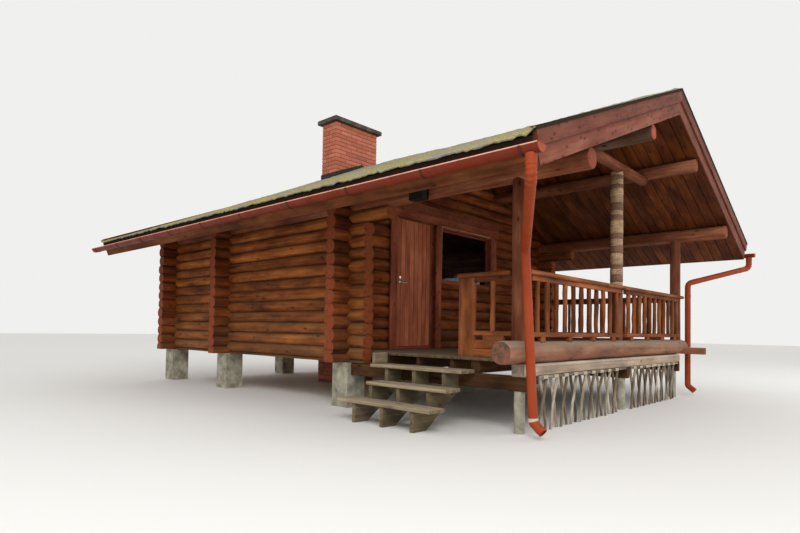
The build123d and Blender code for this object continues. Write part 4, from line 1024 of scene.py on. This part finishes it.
for side, word in SIDES:
    board(*lying_x(*sorted((0.0, side * SIDE_X)), RAIL_Y - 0.004, RAIL_Z), 0.112, RAIL_T, 0.012, wobble=0.0015)
    for z, height in ((SUB_Z, 0.055), (0.985, 0.050)):
        board(*lying_x(side * WRAP_R, side * (SIDE_X - POST_R), RAIL_Y, z), 0.044, height, 0.005)
    for k in range(1, 12):
        baluster(side * BALUSTER_PITCH * k, RAIL_Y, 1.005)
    for k in (1, 4, 7, 10):
        board(*standing(side * BALUSTER_PITCH * (k + 0.5), RAIL_Y, SILL_LOG_Z + 0.10, 0.962), 0.085, 0.044)
    b.piece(f"rail_front_{word}", RAIL, "rail_wood", f"railing_front_{word}")

BLOCKS = [(0.215 + 0.585 * k, 0.473 + 0.585 * k) for k in range(4)]
for side, y_to, offsets, blocks, word in (
        (-1, Y_POST + 0.790, (0.360,), BLOCKS[:1], "left"),
        (1, Y_WALL - STUB - 0.001, [0.266 + BALUSTER_PITCH * k for k in range(9)], BLOCKS, "right")):
    x = side * SIDE_X
    y_from, y_low = Y_STAND + POST_R, Y_POST + SILL_LOG_R + 0.005
    for y, z, width, height, bevel in ((y_from, RAIL_Z, 0.119, RAIL_T, 0.012), (y_from, SUB_Z, 0.044, 0.055, 0.005),
                                       (y_from, 0.992, 0.044, 0.050, 0.005), (y_low, 0.779, 0.048, 0.088, 0.005),
                                       (y_low, 0.873, 0.044, 0.094, 0.005)):
        board(*lying_y(x, y, y_to, z), width, height, bevel)
    for start, stop in blocks:
        board(*lying_y(x, Y_POST + start, Y_POST + stop, 0.9435), 0.043, 0.049)
    for d in offsets:
        baluster(x, Y_POST + d, 1.012)
    if side < 0:
        # Newel board at the head of the stairs
        board(*standing(x, Y_POST + 0.685, DECK, RAIL_TOP - 0.044), 0.050, 0.210, 0.008)
    b.piece(f"rail_side_{word}", RAIL, "rail_wood", f"railing_{word}")

# Stairs
TREAD_TOPS, TREAD_T = (0.607, 0.427, 0.247), 0.038
TREAD_IN, GOING, TREAD_HALF, STAIR_FROM = -2.582, 0.250, 0.125, Y_POST + 0.500
for k, (z, width) in enumerate(zip(TREAD_TOPS, (1.333, 1.145, 1.340))):
    for part in (0.5, 1.5):
        near, far = rng.uniform(-0.012, 0.0, 2)
        x = TREAD_IN - GOING * k - TREAD_HALF * part
        board(*lying_y(x, STAIR_FROM - near, STAIR_FROM + width + far, z - TREAD_T / 2), 0.122, TREAD_T, 0.007,
              wobble=0.002)
board(*lying_x(TREAD_IN, TREAD_IN - 0.214, Y_POST + 1.809, 0.671), 0.048, 0.128, 0.005)
b.piece("treads", TREAD, "grey_timber", "stair_treads")
seats = [z - TREAD_T for z in TREAD_TOPS]
noses = [TREAD_IN - GOING * (k + 1) + 0.025 for k in range(3)]
STRINGER_IN = -2.5753
outline = [(STRINGER_IN, seats[0])]
for nose, z_a, z_b in zip(noses, seats, seats[1:] + [0.0]):
    outline += [(nose, z_a), (nose, z_b)]
outline += [(noses[2] + 0.190, 0.0), (STRINGER_IN, seats[0] - 0.200)]
for y in (0.745, 1.165, 1.585):
    extrude_y(outline, Y_POST + y - 0.024, Y_POST + y + 0.024, tone=rng.random())
b.piece("stringers", STRINGER, "grey_timber", "stair_stringers")

# Glass face of the lamp on the eave log
lamp_z = SOFFIT_APEX - SLOPE * (SIDE_X + PLATE_R + 0.1203) - 0.0753
lamp_x = -SIDE_X - PLATE_R
box((lamp_x - 0.107, Y_POST + 1.188, lamp_z - 0.062), (lamp_x - 0.0135, Y_POST + 1.1895, lamp_z + 0.062))
b.piece("lamp_face", LENS, "sheet")

# Lattice of crossed sticks under a batten, with a block over each pair
LATTICE_PITCH, Y_LATTICE, STICK_POINTS = 0.232, Y_POST - 0.060, 8
t = np.linspace(0, 1, STICK_POINTS)
bow = np.sin(np.pi * t)
for x_a, x_b, word in ((-2.330, -0.025, "left"), (0.145, 2.135, "right")):
    board(*lying_x(x_a, x_b, Y_LATTICE - 0.024, BEARER_TOP - 0.015), 0.047, 0.030)
    for k in range(int((x_b - x_a) // LATTICE_PITCH)):
        x = x_a + LATTICE_PITCH * (k + 0.5)
        board(*lying_x(x - 0.045, x + 0.045, Y_LATTICE - 0.030, BEARER_TOP - 0.018), 0.060, 0.034, tone=0.95)
        for lean, out in ((1, 0.012), (-1, 0.036)):
            top, foot = x - lean * 0.060, x + lean * 0.090
            px = top + (foot - top) * t + rng.uniform(-0.008, 0.008, STICK_POINTS) * bow + lean * 0.014 * bow
            py = Y_LATTICE - out + rng.uniform(-0.004, 0.004, STICK_POINTS)
            pz = (BEARER_TOP - 0.020) * (1 - t) + 0.004 * t
            radii = np.linspace(0.0172, 0.0142, STICK_POINTS) + rng.uniform(-0.001, 0.001, STICK_POINTS)
            tube(np.column_stack((px, py, pz)), radii, 9, rng.random())
    b.piece(f"sticks_{word}", STICK, "stick", f"lattice_{word}")

# CAD nodes that stay
for node, material in (("cabin_piers", CONCRETE), ("porch_piers", CONCRETE), ("chimney_cap", CAP),
                       ("chimney_flashing", DARK_SHEET), ("door_hinges", HINGE), ("eave_lamp", LAMP),
                       ("window_glass", GLASS)):
    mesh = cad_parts[node].data
    mesh.materials.clear()
    mesh.materials.append(material)


def studio():
    """Floor, light and background."""
    mesh = bpy.data.meshes.new("floor")
    mesh.from_pydata([(-60, -60, 0), (60, -60, 0), (60, 60, 0), (-60, 60, 0)], [], [(0, 1, 2, 3)])
    floor = bpy.data.objects.new("floor", mesh)
    bpy.context.scene.collection.objects.link(floor)
    mesh.materials.append(Nodes("floor").done(srgb(232, 231, 228), 0.9))
    n = Nodes("world", bpy.data.worlds)
    bpy.context.scene.world = n.owner
    # The lens, mirrors and glass see the pale backdrop, all else is lit by the dimmer light
    path = n.new("ShaderNodeLightPath").outputs
    seen = path["Is Camera Ray"]
    for ray in ("Is Glossy Ray", "Is Transmission Ray"):
        seen = n.math("MAXIMUM", seen, path[ray])
    light = n.made("ShaderNodeBackground", (1.0, 0.99, 0.97, 1.0), 0.85)
    backdrop = n.made("ShaderNodeBackground", srgb(240, 240, 238), 1.0)
    n.put(n.new("ShaderNodeOutputWorld").inputs[0], n.made("ShaderNodeMixShader", seen, light, backdrop))
    for name, place, size, power in (("key", (-11.0, -10.0, 9.0), 7.0, 900.0), ("fill", (9.0, -12.0, 6.0), 8.0, 350.0)):
        data = bpy.data.lights.new(name, "AREA")
        data.shape = "DISK"
        data.size = size
        data.energy = power
        lamp = bpy.data.objects.new(name, data)
        lamp.location = place
        lamp.rotation_euler = (Vector((0, 0, 1.5)) - Vector(place)).to_track_quat("-Z", "Y").to_euler()
        bpy.context.scene.collection.objects.link(lamp)


studio()
bpy.context.scene.view_settings.view_transform = "Standard"

bpy.context.view_layer.update()
